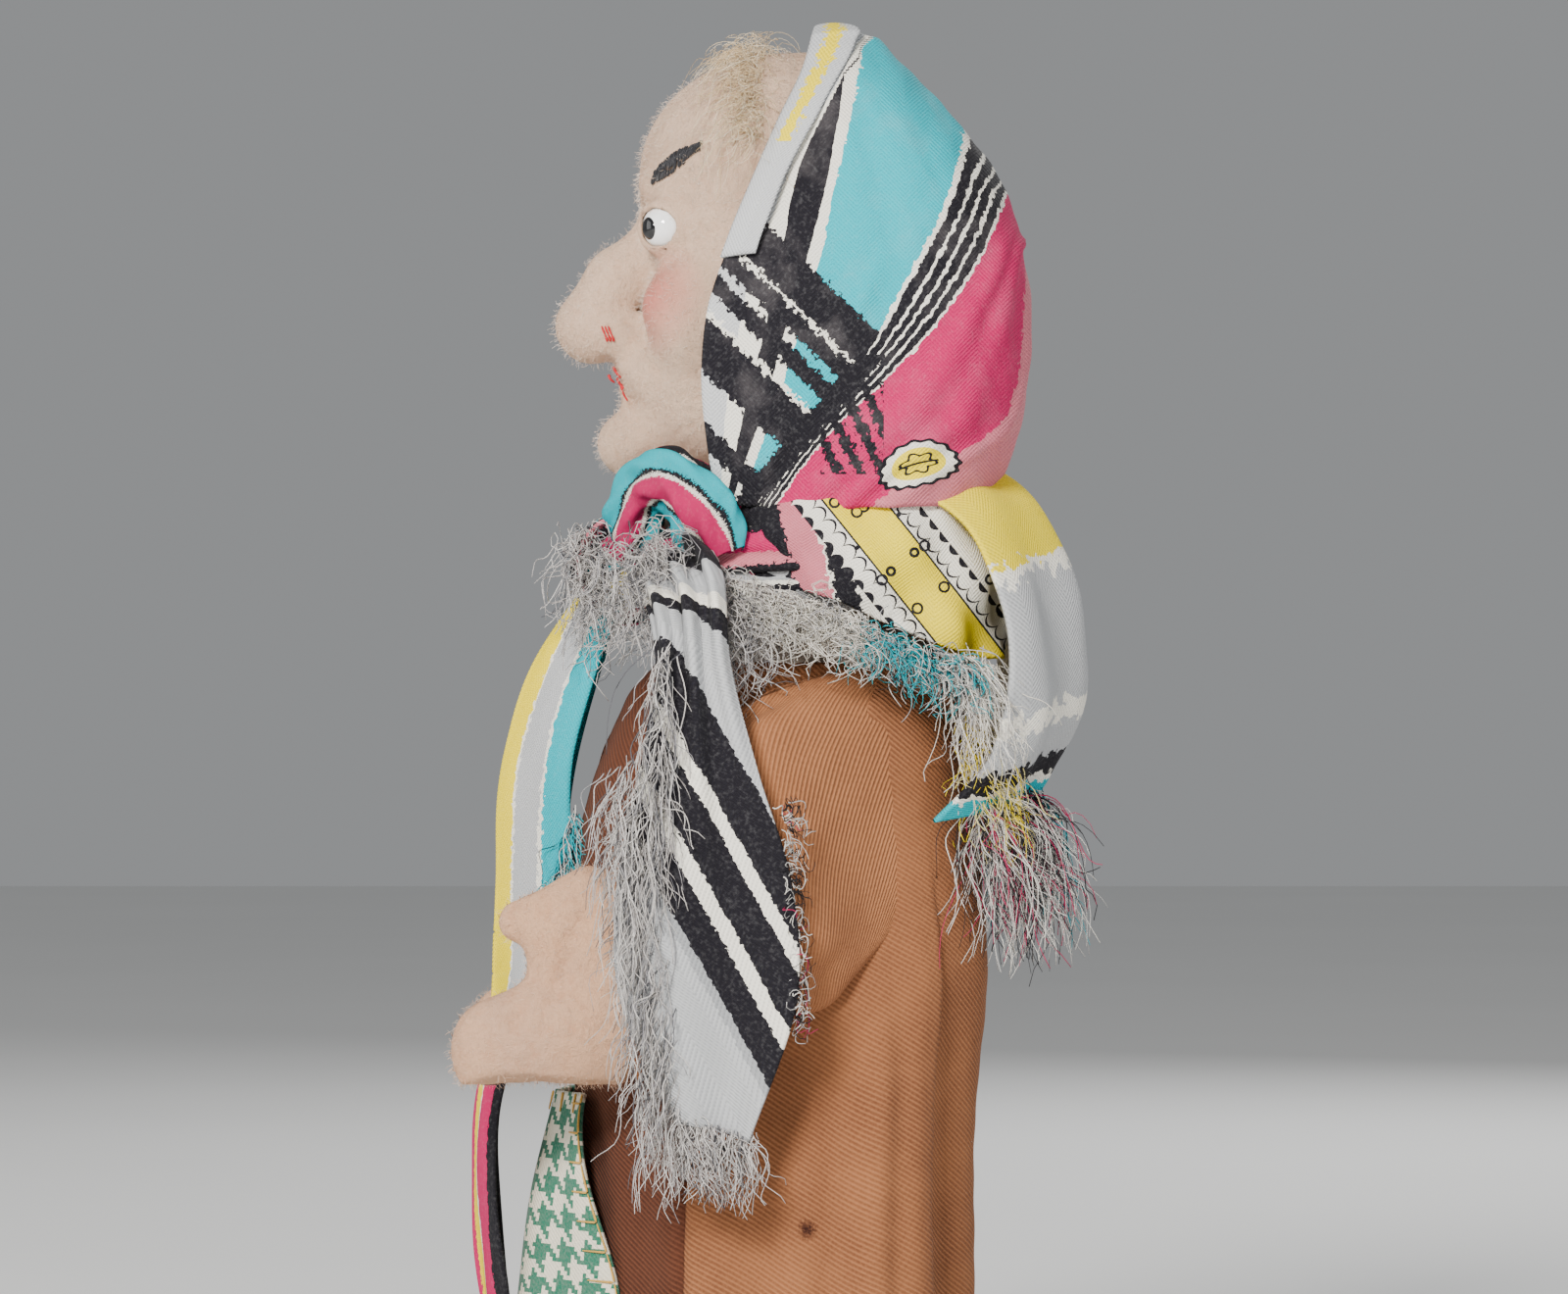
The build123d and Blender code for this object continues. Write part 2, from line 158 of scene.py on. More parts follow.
def path_gap(y, z, route):
    """Distance in side view to a line of (y, z) points, and how far along it, from 0 to 1."""
    best = np.full(np.shape(y), 1e9)
    along = np.zeros(np.shape(y))
    spans = len(route) - 1
    for k in range(spans):
        (y0, z0), (y1, z1) = route[k], route[k + 1]
        dy, dz = y1 - y0, z1 - z0
        t = np.clip(((y - y0) * dy + (z - z0) * dz) / (dy * dy + dz * dz), 0, 1)
        gap = np.hypot(y - y0 - t * dy, z - z0 - t * dz)
        along = np.where(gap < best, (k + t) / spans, along)
        best = np.minimum(best, gap)
    return best, along


def surface_of(name, field, low, high, step, settle=2):
    """The skin of a solid given by a distance field, as an even mesh of quads."""
    axes = [np.arange(l, h + step, step) for l, h in zip(low, high)]
    grid = np.stack(np.meshgrid(*axes, indexing="ij"), -1)
    value = field(grid)
    inside = value < 0
    shape = tuple(n - 1 for n in inside.shape)
    total, count = np.zeros(shape + (3,)), np.zeros(shape)
    corners = [(0, 0), (0, 1), (1, 0), (1, 1)]
    for axis in range(3):
        others = [a for a in range(3) if a != axis]
        for a, b in corners:
            start = [slice(0, n) for n in shape]
            for o, c in zip(others, (a, b)):
                start[o] = slice(c, c + shape[o])
            end = list(start)
            end[axis] = slice(1, 1 + shape[axis])
            f0, f1 = value[tuple(start)], value[tuple(end)]
            crossed = (f0 < 0) != (f1 < 0)
            t = np.where(crossed, f0 / np.where(crossed, f0 - f1, 1), 0)
            p0, p1 = grid[tuple(start)], grid[tuple(end)]
            total += np.where(crossed[..., None], p0 + t[..., None] * (p1 - p0), 0)
            count += crossed
    used = count > 0
    index = np.full(shape, -1)
    index[used] = np.arange(used.sum())
    points = total[used] / count[used][:, None]
    quads = []
    for axis in range(3):
        b, c = (axis + 1) % 3, (axis + 2) % 3
        low_cut, high_cut = [slice(1, n) for n in shape], [slice(1, n) for n in shape]
        low_cut[axis], high_cut[axis] = slice(0, shape[axis]), slice(1, shape[axis] + 1)
        f0, f1 = inside[tuple(low_cut)], inside[tuple(high_cut)]
        where = np.argwhere(f0 != f1)
        outward = f0[tuple(where.T)]
        where = where + 1
        where[:, axis] -= 1
        ring = []
        for db, dc in ((-1, -1), (0, -1), (0, 0), (-1, 0)):
            cell = where.copy()
            cell[:, b] += db
            cell[:, c] += dc
            ring.append(index[tuple(cell.T)])
        ring = np.stack(ring, -1)
        quads.append(np.where(outward[:, None], ring, ring[:, ::-1]))
    quads = np.concatenate(quads)
    piece = make_piece(name, points, quads)
    if settle:
        even = piece.modifiers.new("even", "SMOOTH")
        even.factor, even.iterations = 0.5, settle
    return piece


# ---- threads -------------------------------------------------------------------------------------
def threads(name, paths, radius, shade):
    """A bundle of threads: paths is (threads, points, 3) in millimetres, shade one value each."""
    paths = np.asarray(paths, float)
    count, steps = paths.shape[:2]
    along = np.gradient(paths, axis=1)
    along /= np.maximum(np.linalg.norm(along, axis=-1, keepdims=True), 1e-9)
    helper = np.where(np.abs(along[..., 2:3]) > 0.9, np.array([1.0, 0, 0]), UP)
    first = np.cross(along, helper)
    first /= np.maximum(np.linalg.norm(first, axis=-1, keepdims=True), 1e-9)
    second = np.cross(along, first)
    radius = np.broadcast_to(np.asarray(radius, float), (count,))[:, None, None]
    taper = np.linspace(1.0, 0.55, steps)[None, :, None]
    turns = [2 * math.pi * k / 3 for k in range(3)]
    ring = np.stack([paths + radius * taper * (math.cos(a) * first + math.sin(a) * second)
                     for a in turns], 2)
    base = np.arange(count)[:, None, None, None] * steps * 3
    i = np.arange(steps - 1)[None, :, None, None] * 3
    k = np.arange(3)[None, None, :, None]
    quad = np.concatenate([base + i + k, base + i + (k + 1) % 3, base + i + 3 + (k + 1) % 3,
                           base + i + 3 + k], -1).reshape(-1, 4)
    starts = (np.arange(count) * steps * 3)[:, None]
    ends = starts + (steps - 1) * 3
    caps = np.concatenate([starts + np.array([[2, 1, 0]]), ends + np.array([[0, 1, 2]])])
    uv = np.stack([np.broadcast_to(np.asarray(shade, float)[:, None, None], (count, steps, 3)),
                   np.broadcast_to(np.linspace(0, 1, steps)[None, :, None], (count, steps, 3))], -1)
    faces = quad.tolist() + caps.tolist()
    return make_piece(name, ring.reshape(-1, 3), faces, uv.reshape(-1, 2))


def loose_paths(rng, roots, ways, lengths, steps=8, droop=0.5, curl=0.8, waves=1.2):
    """Limp thread ends: each leaves its root along its way, droops and curls."""
    roots, ways = np.asarray(roots, float), np.asarray(ways, float)
    ways = ways / np.maximum(np.linalg.norm(ways, axis=-1, keepdims=True), 1e-9)
    count = len(roots)
    lengths = np.broadcast_to(np.asarray(lengths, float), (count,))[:, None, None]
    t = np.linspace(0, 1, steps)[None, :, None]
    side = np.cross(ways, rng.normal(size=(count, 3)))
    side /= np.maximum(np.linalg.norm(side, axis=-1, keepdims=True), 1e-9)
    other = np.cross(ways, side)
    turn = 2 * math.pi * waves * rng.uniform(0.5, 1.4, (count, 1, 1)) * t
    phase = rng.uniform(0, 2 * math.pi, (count, 1, 1))
    reach = curl * rng.uniform(0.3, 1.5, (count, 1, 1)) * t ** 0.7
    swirl = (side[:, None] * (np.sin(turn + phase) - np.sin(phase))
             + other[:, None] * (np.cos(turn + phase) - np.cos(phase))) * reach
    line = ways[:, None] * t * (1 - 0.35 * droop * t) - UP * droop * t ** 2
    return roots[:, None] + line * lengths + swirl


# ---- material nodes ------------------------------------------------------------------------------
def operator(operation):
    return lambda self, *others: self.look.math(operation, self, *others)


class Value:
    """A shader value that takes arithmetic: each operation adds one math node."""
    __add__, __sub__, __mul__ = operator("ADD"), operator("SUBTRACT"), operator("MULTIPLY")
    __truediv__, __mod__ = operator("DIVIDE"), operator("FLOORED_MODULO")
    __pow__, __abs__ = operator("POWER"), operator("ABSOLUTE")
    __lt__, __gt__, near = operator("LESS_THAN"), operator("GREATER_THAN"), operator("COMPARE")
    sin, sqrt, floor = operator("SINE"), operator("SQRT"), operator("FLOOR")
    angle, zigzag = operator("ARCTAN2"), operator("PINGPONG")

    def __init__(self, look, socket):
        self.look, self.socket = look, socket


class Look:
    """A material under construction: short calls that add shader nodes and return values."""

    def __init__(self, name):
        self.material = bpy.data.materials.new(name)
        self.material.use_nodes = True
        self.tree = self.material.node_tree
        self.shader = self.tree.nodes["Principled BSDF"]

    def put(self, value, socket):
        """Links a value to an input, or stores a number or colour in it."""
        if isinstance(value, Value):
            self.tree.links.new(value.socket, socket)
        else:
            socket.default_value = (*value[:3], 1) if socket.type == "RGBA" else value

    def node(self, kind, inputs, output=0, **settings):
        made = self.tree.nodes.new(kind)
        for key, value in settings.items():
            setattr(made, key, value)
        for key, value in inputs.items():
            self.put(value, made.inputs[key])
        return Value(self, made.outputs[output])

    def math(self, operation, *values):
        return self.node("ShaderNodeMath", dict(enumerate(values)), operation=operation)

    def place(self):
        """Position on the object in millimetres."""
        spot = self.node("ShaderNodeTexCoord", {}, output=3)
        return self.node("ShaderNodeVectorMath", {0: spot, "Scale": 1 / MM}, operation="SCALE")

    def print_place(self):
        return self.node("ShaderNodeUVMap", {}, uv_map="Cloth")

    def split(self, vector):
        made = self.tree.nodes.new("ShaderNodeSeparateXYZ")
        self.put(vector, made.inputs[0])
        return [Value(self, socket) for socket in made.outputs]

    def join(self, *parts):
        return self.node("ShaderNodeCombineXYZ", dict(enumerate(parts)))

    def distance(self, a, b):
        return self.node("ShaderNodeVectorMath", {0: a, 1: b}, output=1, operation="DISTANCE")

    def noise(self, vector, scale, detail=3.0, rough=0.55):
        return self.node("ShaderNodeTexNoise", {"Vector": vector, "Scale": scale,
                                                "Detail": detail, "Roughness": rough})

    def jitter(self, vector, scale, reach, detail=3.0):
        """Unevenness between -reach and reach."""
        return self.range(self.noise(vector, scale, detail), 0.3, 0.7, -reach, reach)

    def mix(self, amount, a, b):
        made = self.tree.nodes.new("ShaderNodeMix")
        made.data_type = "RGBA"
        for index, value in ((0, amount), (6, a), (7, b)):
            self.put(value, made.inputs[index])
        return Value(self, made.outputs[2])

    def range(self, value, low, high, to_low=0.0, to_high=1.0):
        return self.node("ShaderNodeMapRange", {0: value, 1: low, 2: high, 3: to_low, 4: to_high})

    def shade(self, colour, tint, value, low, high, most=1.0):
        """Mixes up to most of a tint into a colour as value goes from low to high."""
        return self.mix(self.range(value, low, high, 0.0, most), colour, tint)

    def colours(self, value, stops):
        """Hard-edged colours by value: stops is a list of (start, colour), starts 0 to 1."""
        made = self.tree.nodes.new("ShaderNodeValToRGB")
        made.color_ramp.interpolation = "CONSTANT"
        elements = made.color_ramp.elements
        while len(elements) < len(stops):
            elements.new(0.5)
        for element, (start, _) in zip(elements, stops):
            element.position = start
        for element, (_, colour) in zip(elements, stops):
            element.color = (*colour[:3], 1)
        self.put(value, made.inputs[0])
        return Value(self, made.outputs[0])

    def banded(self, value, low, high, stops):
        """Hard-edged colours over value from low to high, with stops in the same unit."""
        return self.colours(self.range(value, low, high),
                            [((start - low) / (high - low), tint) for start, tint in stops])

    def finish(self, colour, rough=0.85, height=None, depth=0.1, sheen=0.0, specular=0.25):
        sockets = self.shader.inputs
        self.put(colour, sockets["Base Color"])
        self.put(rough, sockets["Roughness"])
        self.put(sheen, sockets["Sheen Weight"])
        self.put(0.5, sockets["Sheen Roughness"])
        self.put(specular, sockets["Specular IOR Level"])
        if height is not None:
            self.put(self.node("ShaderNodeBump", {"Height": height, "Distance": depth * MM,
                                                  "Strength": 1.0}), sockets["Normal"])
        return self.material


def tinted(colour, *shares):
    """A colour times one share, or times one share for each channel."""
    return tuple(c * k for c, k in zip(colour, shares * 3))


def wale(look, vector, pitch, slant=(1.0, 1.0), flip=0.0, yarn_share=0.35):
    """Twill: a wave across the slanted rib; flip is the width of a herringbone stripe."""
    s, t, _ = look.split(vector)
    if flip:
        s = s.zigzag(flip)
    turn = 2 * math.pi / pitch / math.hypot(*slant)
    rib = ((s * slant[0] + t * slant[1]) * turn).sin()
    yarn = ((s * slant[1] - t * slant[0]) * (turn * 0.8)).sin()
    return look.range(rib + yarn * yarn_share, -1.3, 1.3)


# ---- camera, floor and light ---------------------------------------------------------------------
VIEW_WIDTH = 0.330               # what the picture's width takes in, at the object
VIEW_HEIGHT = 0.184              # height of the picture's middle
CAMERA_GAP = 1.5
SENSOR = 36.0

camera = bpy.data.objects.new("camera", bpy.data.cameras.new("camera"))
camera.data.sensor_width = SENSOR
camera.data.lens = SENSOR * CAMERA_GAP / VIEW_WIDTH
camera.data.clip_start, camera.data.clip_end = 0.05, 20.0
camera.location = (CAMERA_GAP, 0.0, VIEW_HEIGHT)
camera.rotation_euler = (math.radians(90), 0, math.radians(90))
bpy.context.scene.collection.objects.link(camera)
bpy.context.scene.camera = camera


def softbox(name, where, size, watts, tint=(1, 1, 1)):
    light = bpy.data.lights.new(name, "AREA")
    light.shape, light.size, light.energy, light.color = "SQUARE", size, watts, tint
    lamp = bpy.data.objects.new(name, light)
    lamp.location = where
    aim = np.array([0, 0, 0.18]) - np.array(where)
    lamp.rotation_euler = (math.atan2(math.hypot(aim[0], aim[1]), -aim[2]), 0,
                           math.atan2(aim[1], aim[0]) - math.pi / 2)
    bpy.context.scene.collection.objects.link(lamp)


softbox("key", (1.25, -0.40, 0.80), 0.30, 38.0, (1.0, 0.97, 0.93))
softbox("fill", (1.1, 0.9, 0.30), 0.8, 7.0)
softbox("front", (0.1, -1.3, 0.5), 0.8, 5.0)
softbox("back", (-1.2, 0.5, 0.8), 0.9, 9.0)

world = bpy.data.worlds.new("studio")
world.use_nodes = True
world.node_tree.nodes["Background"].inputs[0].default_value = (0.86, 0.88, 0.90, 1)
world.node_tree.nodes["Background"].inputs[1].default_value = 0.33
bpy.context.scene.world = world

FLOOR = 4000                     # half the floor's width
floor_corners = [(x * FLOOR, y * FLOOR, 0) for x, y in ((-1, -1), (1, -1), (1, 1), (-1, 1))]
floor = make_piece("floor", floor_corners, [(0, 1, 2, 3)], smooth=False)
floor.location.z = -0.0005
floor_look = Look("floor_paint")
floor_tone = floor_look.noise(floor_look.place(), 0.004, 2.0)
floor.data.materials.append(floor_look.finish(
    floor_look.mix(floor_tone, (0.80, 0.80, 0.79), (0.84, 0.84, 0.83)), 0.9, specular=0.1))

# ---- colours -------------------------------------------------------------------------------------
FELT, FELT_SOILED, BLUSH = (0.80, 0.56, 0.40), (0.66, 0.45, 0.32), (0.74, 0.20, 0.16)
FELT_HAND, FELT_HAND_SOILED = (0.78, 0.46, 0.28), (0.68, 0.42, 0.28)
TEAL, MAGENTA, PINK = (0.0, 0.40, 0.47), (0.50, 0.012, 0.10), (0.56, 0.16, 0.20)
YELLOW, GREY, GREY_OLD = (0.84, 0.66, 0.01), (0.42, 0.43, 0.44), (0.50, 0.51, 0.52)
INK, CREAM = (0.012, 0.011, 0.014), (0.80, 0.77, 0.68)
NONE, FULL = (0, 0, 0), (1, 1, 1)


# ---- materials -----------------------------------------------------------------------------------
def felt_look(name, base, soiled, blush=None):
    """Felt; blush is the (centre, reach) of a rosy cheek, the same on both sides."""
    look = Look(name)
    place = look.place()
    soft = look.noise(place, 0.045, 4.0)
    fine = look.noise(place, 1.6, 4.0, 0.7)
    lumps = look.noise(place, 0.42, 5.0, 0.65)
    colour = look.shade(base, soiled, soft, 0.42, 0.68)
    colour = look.shade(colour, tinted(base, 0.74), fine, 0.35, 0.75, 0.55)
    colour = look.shade(colour, tinted(base, 0.80, 0.66, 0.60), lumps, 0.50, 0.30, 0.45)
    if blush:
        centre, reach = blush
        x, y, z = look.split(place)
        away = look.distance(look.join(abs(x), y, z), centre)
        colour = look.shade(colour, BLUSH, away, reach, reach * 0.2, 0.8)
    height = fine * 0.6 + look.noise(place, 5.0, 3.0) + lumps * 2.2
    return look.finish(colour, 0.95, height, 0.55, sheen=0.04, specular=0.06)


def twill_look(name, base, pale, dark, hole=None):
    """Worn twill; hole is the middle of a moth hole."""
    look = Look(name)
    ribs = wale(look, look.print_place(), 0.95, (0.62, 1.0), yarn_share=0.12)
    worn = look.noise(look.place(), 0.05, 5.0, 0.6)
    nap = look.noise(look.place(), 2.2, 3.0)
    colour = look.shade(dark, base, worn, 0.36, 0.66)
    colour = look.shade(colour, pale, ribs, 0.35, 0.95, 0.55)
    colour = look.shade(colour, tinted(dark, 0.5), ribs, 0.40, 0.0, 0.4)
    colour = look.shade(colour, pale, nap, 0.4, 0.75, 0.3)
    if hole:
        gap = look.distance(look.place(), hole) + look.range(nap, 0.3, 0.7, -0.6, 0.6)
        colour = look.shade(colour, (0.03, 0.010, 0.008), gap, 2.6, 0.9)
    return look.finish(colour, 0.9, ribs + nap * 0.4, 0.26, sheen=0.02, specular=0.08)


def kerchief_cloth(look, colour, cloth=None):
    """The printed kerchief's herringbone weave over a printed colour."""
    ribs = wale(look, cloth or look.print_place(), 0.62, (1.0, 1.0), 5.0)
    colour = look.shade(colour, (0.02, 0.02, 0.03), ribs, 0.45, 0.0, 0.28)
    nap = look.noise(look.place(), 1.3, 4.0)
    colour = look.shade(colour, (0.8, 0.8, 0.8), nap, 0.5, 0.85, 0.06)
    return look.finish(colour, 0.88, ribs, 0.12, sheen=0.02, specular=0.08)


def stripes_look(name, bands, span, ragged=0.35):
    """Stripes along the cloth: bands is [(start in mm, colour)] across a width of span."""
    look = Look(name)
    s = look.split(look.print_place())[0] + look.jitter(look.print_place(), 1.1, ragged, 2.0)
    return kerchief_cloth(look, look.colours(s / span, [(k / span, tint) for k, tint in bands]))


def plain_look(name, tint, rough=0.85, scale=1.5, depth=0.1, sheen=0.0):
    look = Look(name)
    grain = look.noise(look.place(), scale, 5.0, 0.6)
    colour = look.shade(tinted(tint, 0.6), tint, grain, 0.3, 0.7)
    return look.finish(colour, rough, grain, depth, sheen, specular=0.2)


def thread_look(name, stops):
    """Loose threads: each takes its own colour from stops."""
    look = Look(name)
    colour = look.colours(look.split(look.print_place())[0], stops)
    grain = look.noise(look.place(), 3.0, 2.0)
    colour = look.shade(colour, (0.05, 0.05, 0.05), grain, 0.35, 0.7, 0.35)
    return look.finish(colour, 0.8, specular=0.2)


def gloss_look(name, dark, pale, scale, rough, specular):
    """A smooth surface with a faint, cloudy change of colour."""
    look = Look(name)
    tone = look.noise(look.place(), scale, 2.0)
    look.finish(look.mix(tone, dark, pale), rough, specular=specular)
    return look


felt_face = felt_look("felt_face", FELT, FELT_SOILED, ((20.0, -26.0, 256.0), 12.5))
felt_hand = felt_look("felt_hand", FELT_HAND, FELT_HAND_SOILED)


# ---- head ----------------------------------------------------------------------------------------
EYE = np.array([14.5, -24.5, 271.5])
HEAD_LOW, HEAD_HIGH = (-37, -52, 212.8), (37, 48, 312)


def head_field(p):
    """The felt head, the same on both sides: skull, face, nose, wrinkles and eye sockets."""
    p = p.copy()
    p[..., 0] = np.abs(p[..., 0])
    x, y, z = p[..., 0], p[..., 1], p[..., 2]
    skull = ball(p, (0, 9, 261), (32.0, 36.0, 46.0))
    brow = ball(p, (0, -4, 283), (25.0, 26.0, 24.5))
    jaw = ball(p, (0, -10, 237), (22.5, 21.0, 19.0))
    cheek = ball(p, (16.0, -18.5, 252.0), (11.0, 12.0, 11.5))
    chin = ball(p, (0, -29.8, 226.8), (10.0, 9.6, 7.9))
    lips = ball(p, (0, -25.0, 240.5), (13.0, 11.0, 8.0))
    solid = soft_union(skull, brow, blend=9.0)
    solid = soft_union(solid, jaw, cheek, blend=8.0)
    solid = soft_union(solid, lips, chin, blend=4.5)
    nose = soft_union(cone(p, (0, -24.5, 271.5), (0, -34.5, 260.8), 5.2, 6.6),
                      cone(p, (0, -34.5, 260.8), (0, -40.2, 251.4), 6.6, 7.9), blend=2.5)
    wing = ball(p, (6.0, -34.0, 250.0), (3.4, 5.6, 4.6))
    solid = soft_union(solid, soft_union(nose, wing, blend=2.5), blend=4.0)
    ridge = cone(p, (8.0, -26.6, 281.0), (20.5, -17.0, 287.0), 3.2, 2.6)
    solid = soft_union(solid, ridge, blend=4.0)
    fold, along = path_gap(y, z, [(-33.5, 259.5), (-31.0, 252.5), (-26.5, 246.0), (-23.5, 238.5)])
    solid = solid + 1.7 * np.exp(-(fold / 2.1) ** 2) * ramp(x, 6.0, 10.0) * np.sin(
        np.clip(along, 0.02, 1) * math.pi) ** 0.5
    mouth, _ = path_gap(y, z, [(-37.0, 241.3), (-33.8, 239.6), (-31.0, 235.0)])
    solid = solid + 1.5 * np.exp(-(mouth / 1.3) ** 2) * (1 - ramp(x, 9.0, 13.0))
    lid, _ = path_gap(y, z, [(-28.5, 275.5), (-24.5, 277.3), (-20.5, 275.2)])
    solid = solid + 1.0 * np.exp(-(lid / 1.1) ** 2) * ramp(x, 9.0, 12.0)
    socket = np.linalg.norm(p - EYE, axis=-1) - 5.1
    rim = soft_union(solid, socket - 1.3, blend=2.5)
    bed = ball(p, EYE + np.array([7.5, -4.5, -0.2]), (7.6, 6.6, 5.0))
    solid = np.maximum(np.maximum(rim, -bed), -socket)
    return solid + 0.35 * wander(3, x * 0.12, y * 0.12, z * 0.12)


head = surface_of("head_felt", head_field, HEAD_LOW, HEAD_HIGH, 0.85, settle=3)
head.data.materials.append(felt_face)
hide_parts("head_skin")
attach(head, "head")


wool = plain_look("stuffing", (0.82, 0.80, 0.74), 0.95, 0.6, 0.4, 0.2)


def filling(name, field, low, high, body, slack, *nodes):
    """The stuffing just inside a felt skin."""
    piece = surface_of(name, lambda p: field(p) + slack, low, high, 1.8)
    piece.data.materials.append(wool)
    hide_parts(*nodes)
    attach(piece, body)


filling("head_filling", head_field, HEAD_LOW, HEAD_HIGH, "head", 2.2, "head_stuffing")


def skin_points(piece, count, rng, wanted=None):
    """Random points on a piece's skin with their outward directions, in millimetres."""
    mesh = piece.data
    centre = np.zeros(len(mesh.polygons) * 3)
    normal = np.zeros(len(mesh.polygons) * 3)
    area = np.zeros(len(mesh.polygons))
    mesh.polygons.foreach_get("center", centre)
    mesh.polygons.foreach_get("normal", normal)
    mesh.polygons.foreach_get("area", area)
    centre, normal = centre.reshape(-1, 3) / MM, normal.reshape(-1, 3)
    weight = area * (wanted(centre) if wanted else 1.0)
    pick = rng.choice(len(area), count, p=weight / weight.sum())
    return centre[pick] + rng.normal(0, 0.2, (count, 3)), normal[pick]


def fuzz(name, piece, count, seed, reach, body, look, wanted):
    """Short loose fibres that stand off a felt skin."""
    rng = np.random.default_rng(seed)
    roots, ways = skin_points(piece, count, rng, wanted)
    ways = ways + rng.normal(0, 0.75, ways.shape)
    paths = loose_paths(rng, roots, ways, rng.uniform(0.4, 1.0, count) * reach, 4, 0.15, 0.35, 0.6)
    down = threads(name, paths, 0.036, rng.uniform(0, 1, count))
    down.data.materials.append(look)
    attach(down, body)


fibre_face = thread_look("fibre_face", [(0.0, (0.86, 0.66, 0.52)), (0.6, (0.9, 0.78, 0.68))])
fuzz("head_fuzz", head, 9000, 11, 1.8, "head", fibre_face,
     lambda c: (c[:, 1] < 2) * (c[:, 2] > 217) * 1.0)

# eyes: the glass stays as it is built, with a glossy finish
eye_white = gloss_look("eye_white", (0.80, 0.80, 0.78), (0.88, 0.89, 0.90), 0.4, 0.06, 0.6)
eye_black = gloss_look("eye_black", (0.004, 0.004, 0.004), (0.012, 0.012, 0.014), 3.0, 0.05, 0.6)


def dress_node(material, *nodes):
    """Gives CAD nodes their finished material."""
    for name in nodes:
        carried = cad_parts[name].data.materials
        carried.clear()
        carried.append(material)


dress_node(eye_white.material, "left_eye", "right_eye")
PUPIL_AIM, PUPIL_WIDE, EYE_RADIUS = np.array([0.56, -0.82, -0.10]), 0.52, 5.0
for side, label in SIDES:
    aim = PUPIL_AIM * np.array([side, 1, 1]) / np.linalg.norm(PUPIL_AIM)
    level = np.cross(UP, aim) / np.linalg.norm(np.cross(UP, aim))
    lean = np.cross(aim, level)
    v, u = np.meshgrid(np.linspace(0.001, 1, 14), np.linspace(0, 2 * math.pi, 40, endpoint=False),
                       indexing="ij")
    off = PUPIL_WIDE * v
    dome = EYE_RADIUS + 0.22 - 0.3 * v ** 6
    cap = (EYE * np.array([side, 1, 1]) + dome[..., None] * (
        np.cos(off)[..., None] * aim + np.sin(off)[..., None] * (
            np.cos(u)[..., None] * level + np.sin(u)[..., None] * lean)))
    pupil = make_piece(f"{label}_pupil_glass", cap.reshape(-1, 3), grid_faces(14, 40, True))
    pupil.data.materials.append(eye_black.material)
    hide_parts(f"{label}_pupil")
    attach(pupil, "head")


# ---- stitched features of the face ---------------------------------------------------------------
def on_skin(field, x, y, z, way, reach):
    """Where a line from (x, y, z) along way leaves the solid, found by halving."""
    way = np.asarray(way, float) / np.linalg.norm(way)
    start = np.array([x, y, z], float)
    low, high = 0.0, reach
    for _ in range(30):
        middle = (low + high) / 2
        if field((start + way * middle)[None, :])[0] < 0:
            low = middle
        else:
            high = middle
    return start + way * low


def head_side(y, z, side):
    """The point of the head's skin seen from the side at (y, z)."""
    return on_skin(head_field, 1.0, y, z, (1, 0, 0), 60.0) * np.array([side, 1, 1])


def bead_line(name, rows, radius, material, body, node):
    """Plump thread: one rounded strand through each row of points."""
    piece = threads(name, rows, radius, np.linspace(0, 0.99, len(rows)))
    smooth = piece.modifiers.new("round", "SUBSURF")
    smooth.levels = smooth.render_levels = 1
    piece.data.materials.append(material)
    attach(piece, body)
    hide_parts(node)


def face_stitch(start, end, side, forward, base):
    """A stitch on the head's side from (y, z) to (y, z), which stands out in its middle."""
    row = []
    for t in np.linspace(0, 1, 7):
        y, z = (a + (b - a) * t for a, b in zip(start, end))
        out = np.array([side * 0.6, forward, 0]) * (base + math.sin(math.pi * t))
        row.append(head_side(y, z, side) + out)
    return row


thread_black = plain_look("thread_black", (0.018, 0.018, 0.022), 0.75, 2.5, 0.12, 0.2)
thread_red = plain_look("thread_red", (0.62, 0.02, 0.03), 0.6, 2.5, 0.08)
BROW_STITCHES = 30
for side, label in SIDES:
    rng = np.random.default_rng(21 + side)
    rows = []
    for i in range(BROW_STITCHES):
        t = (i + 0.5) / BROW_STITCHES
        y, z = -27.2 + 10.2 * t, 281.8 + 6.2 * t ** 0.9
        tall = 3.5 * (0.72 + 0.5 * math.sin(math.pi * min(1, t * 1.2)) - 0.2 * t)
        lean = 0.9 + rng.normal(0, 0.25)
        row = []
        for k in np.linspace(-1, 1, 7):
            spot = head_side(y + k * lean * 0.6, z + k * tall * 0.62, side)
            spot = spot + np.array([side * 0.75, -0.35, 0.1]) * (0.9 - 0.7 * k * k)
            row.append(spot + rng.normal(0, 0.05, 3))
        rows.append(row)
    bead_line(f"{label}_brow_stitches", rows, 0.72, thread_black, "head",
              f"{label}_eyebrow")

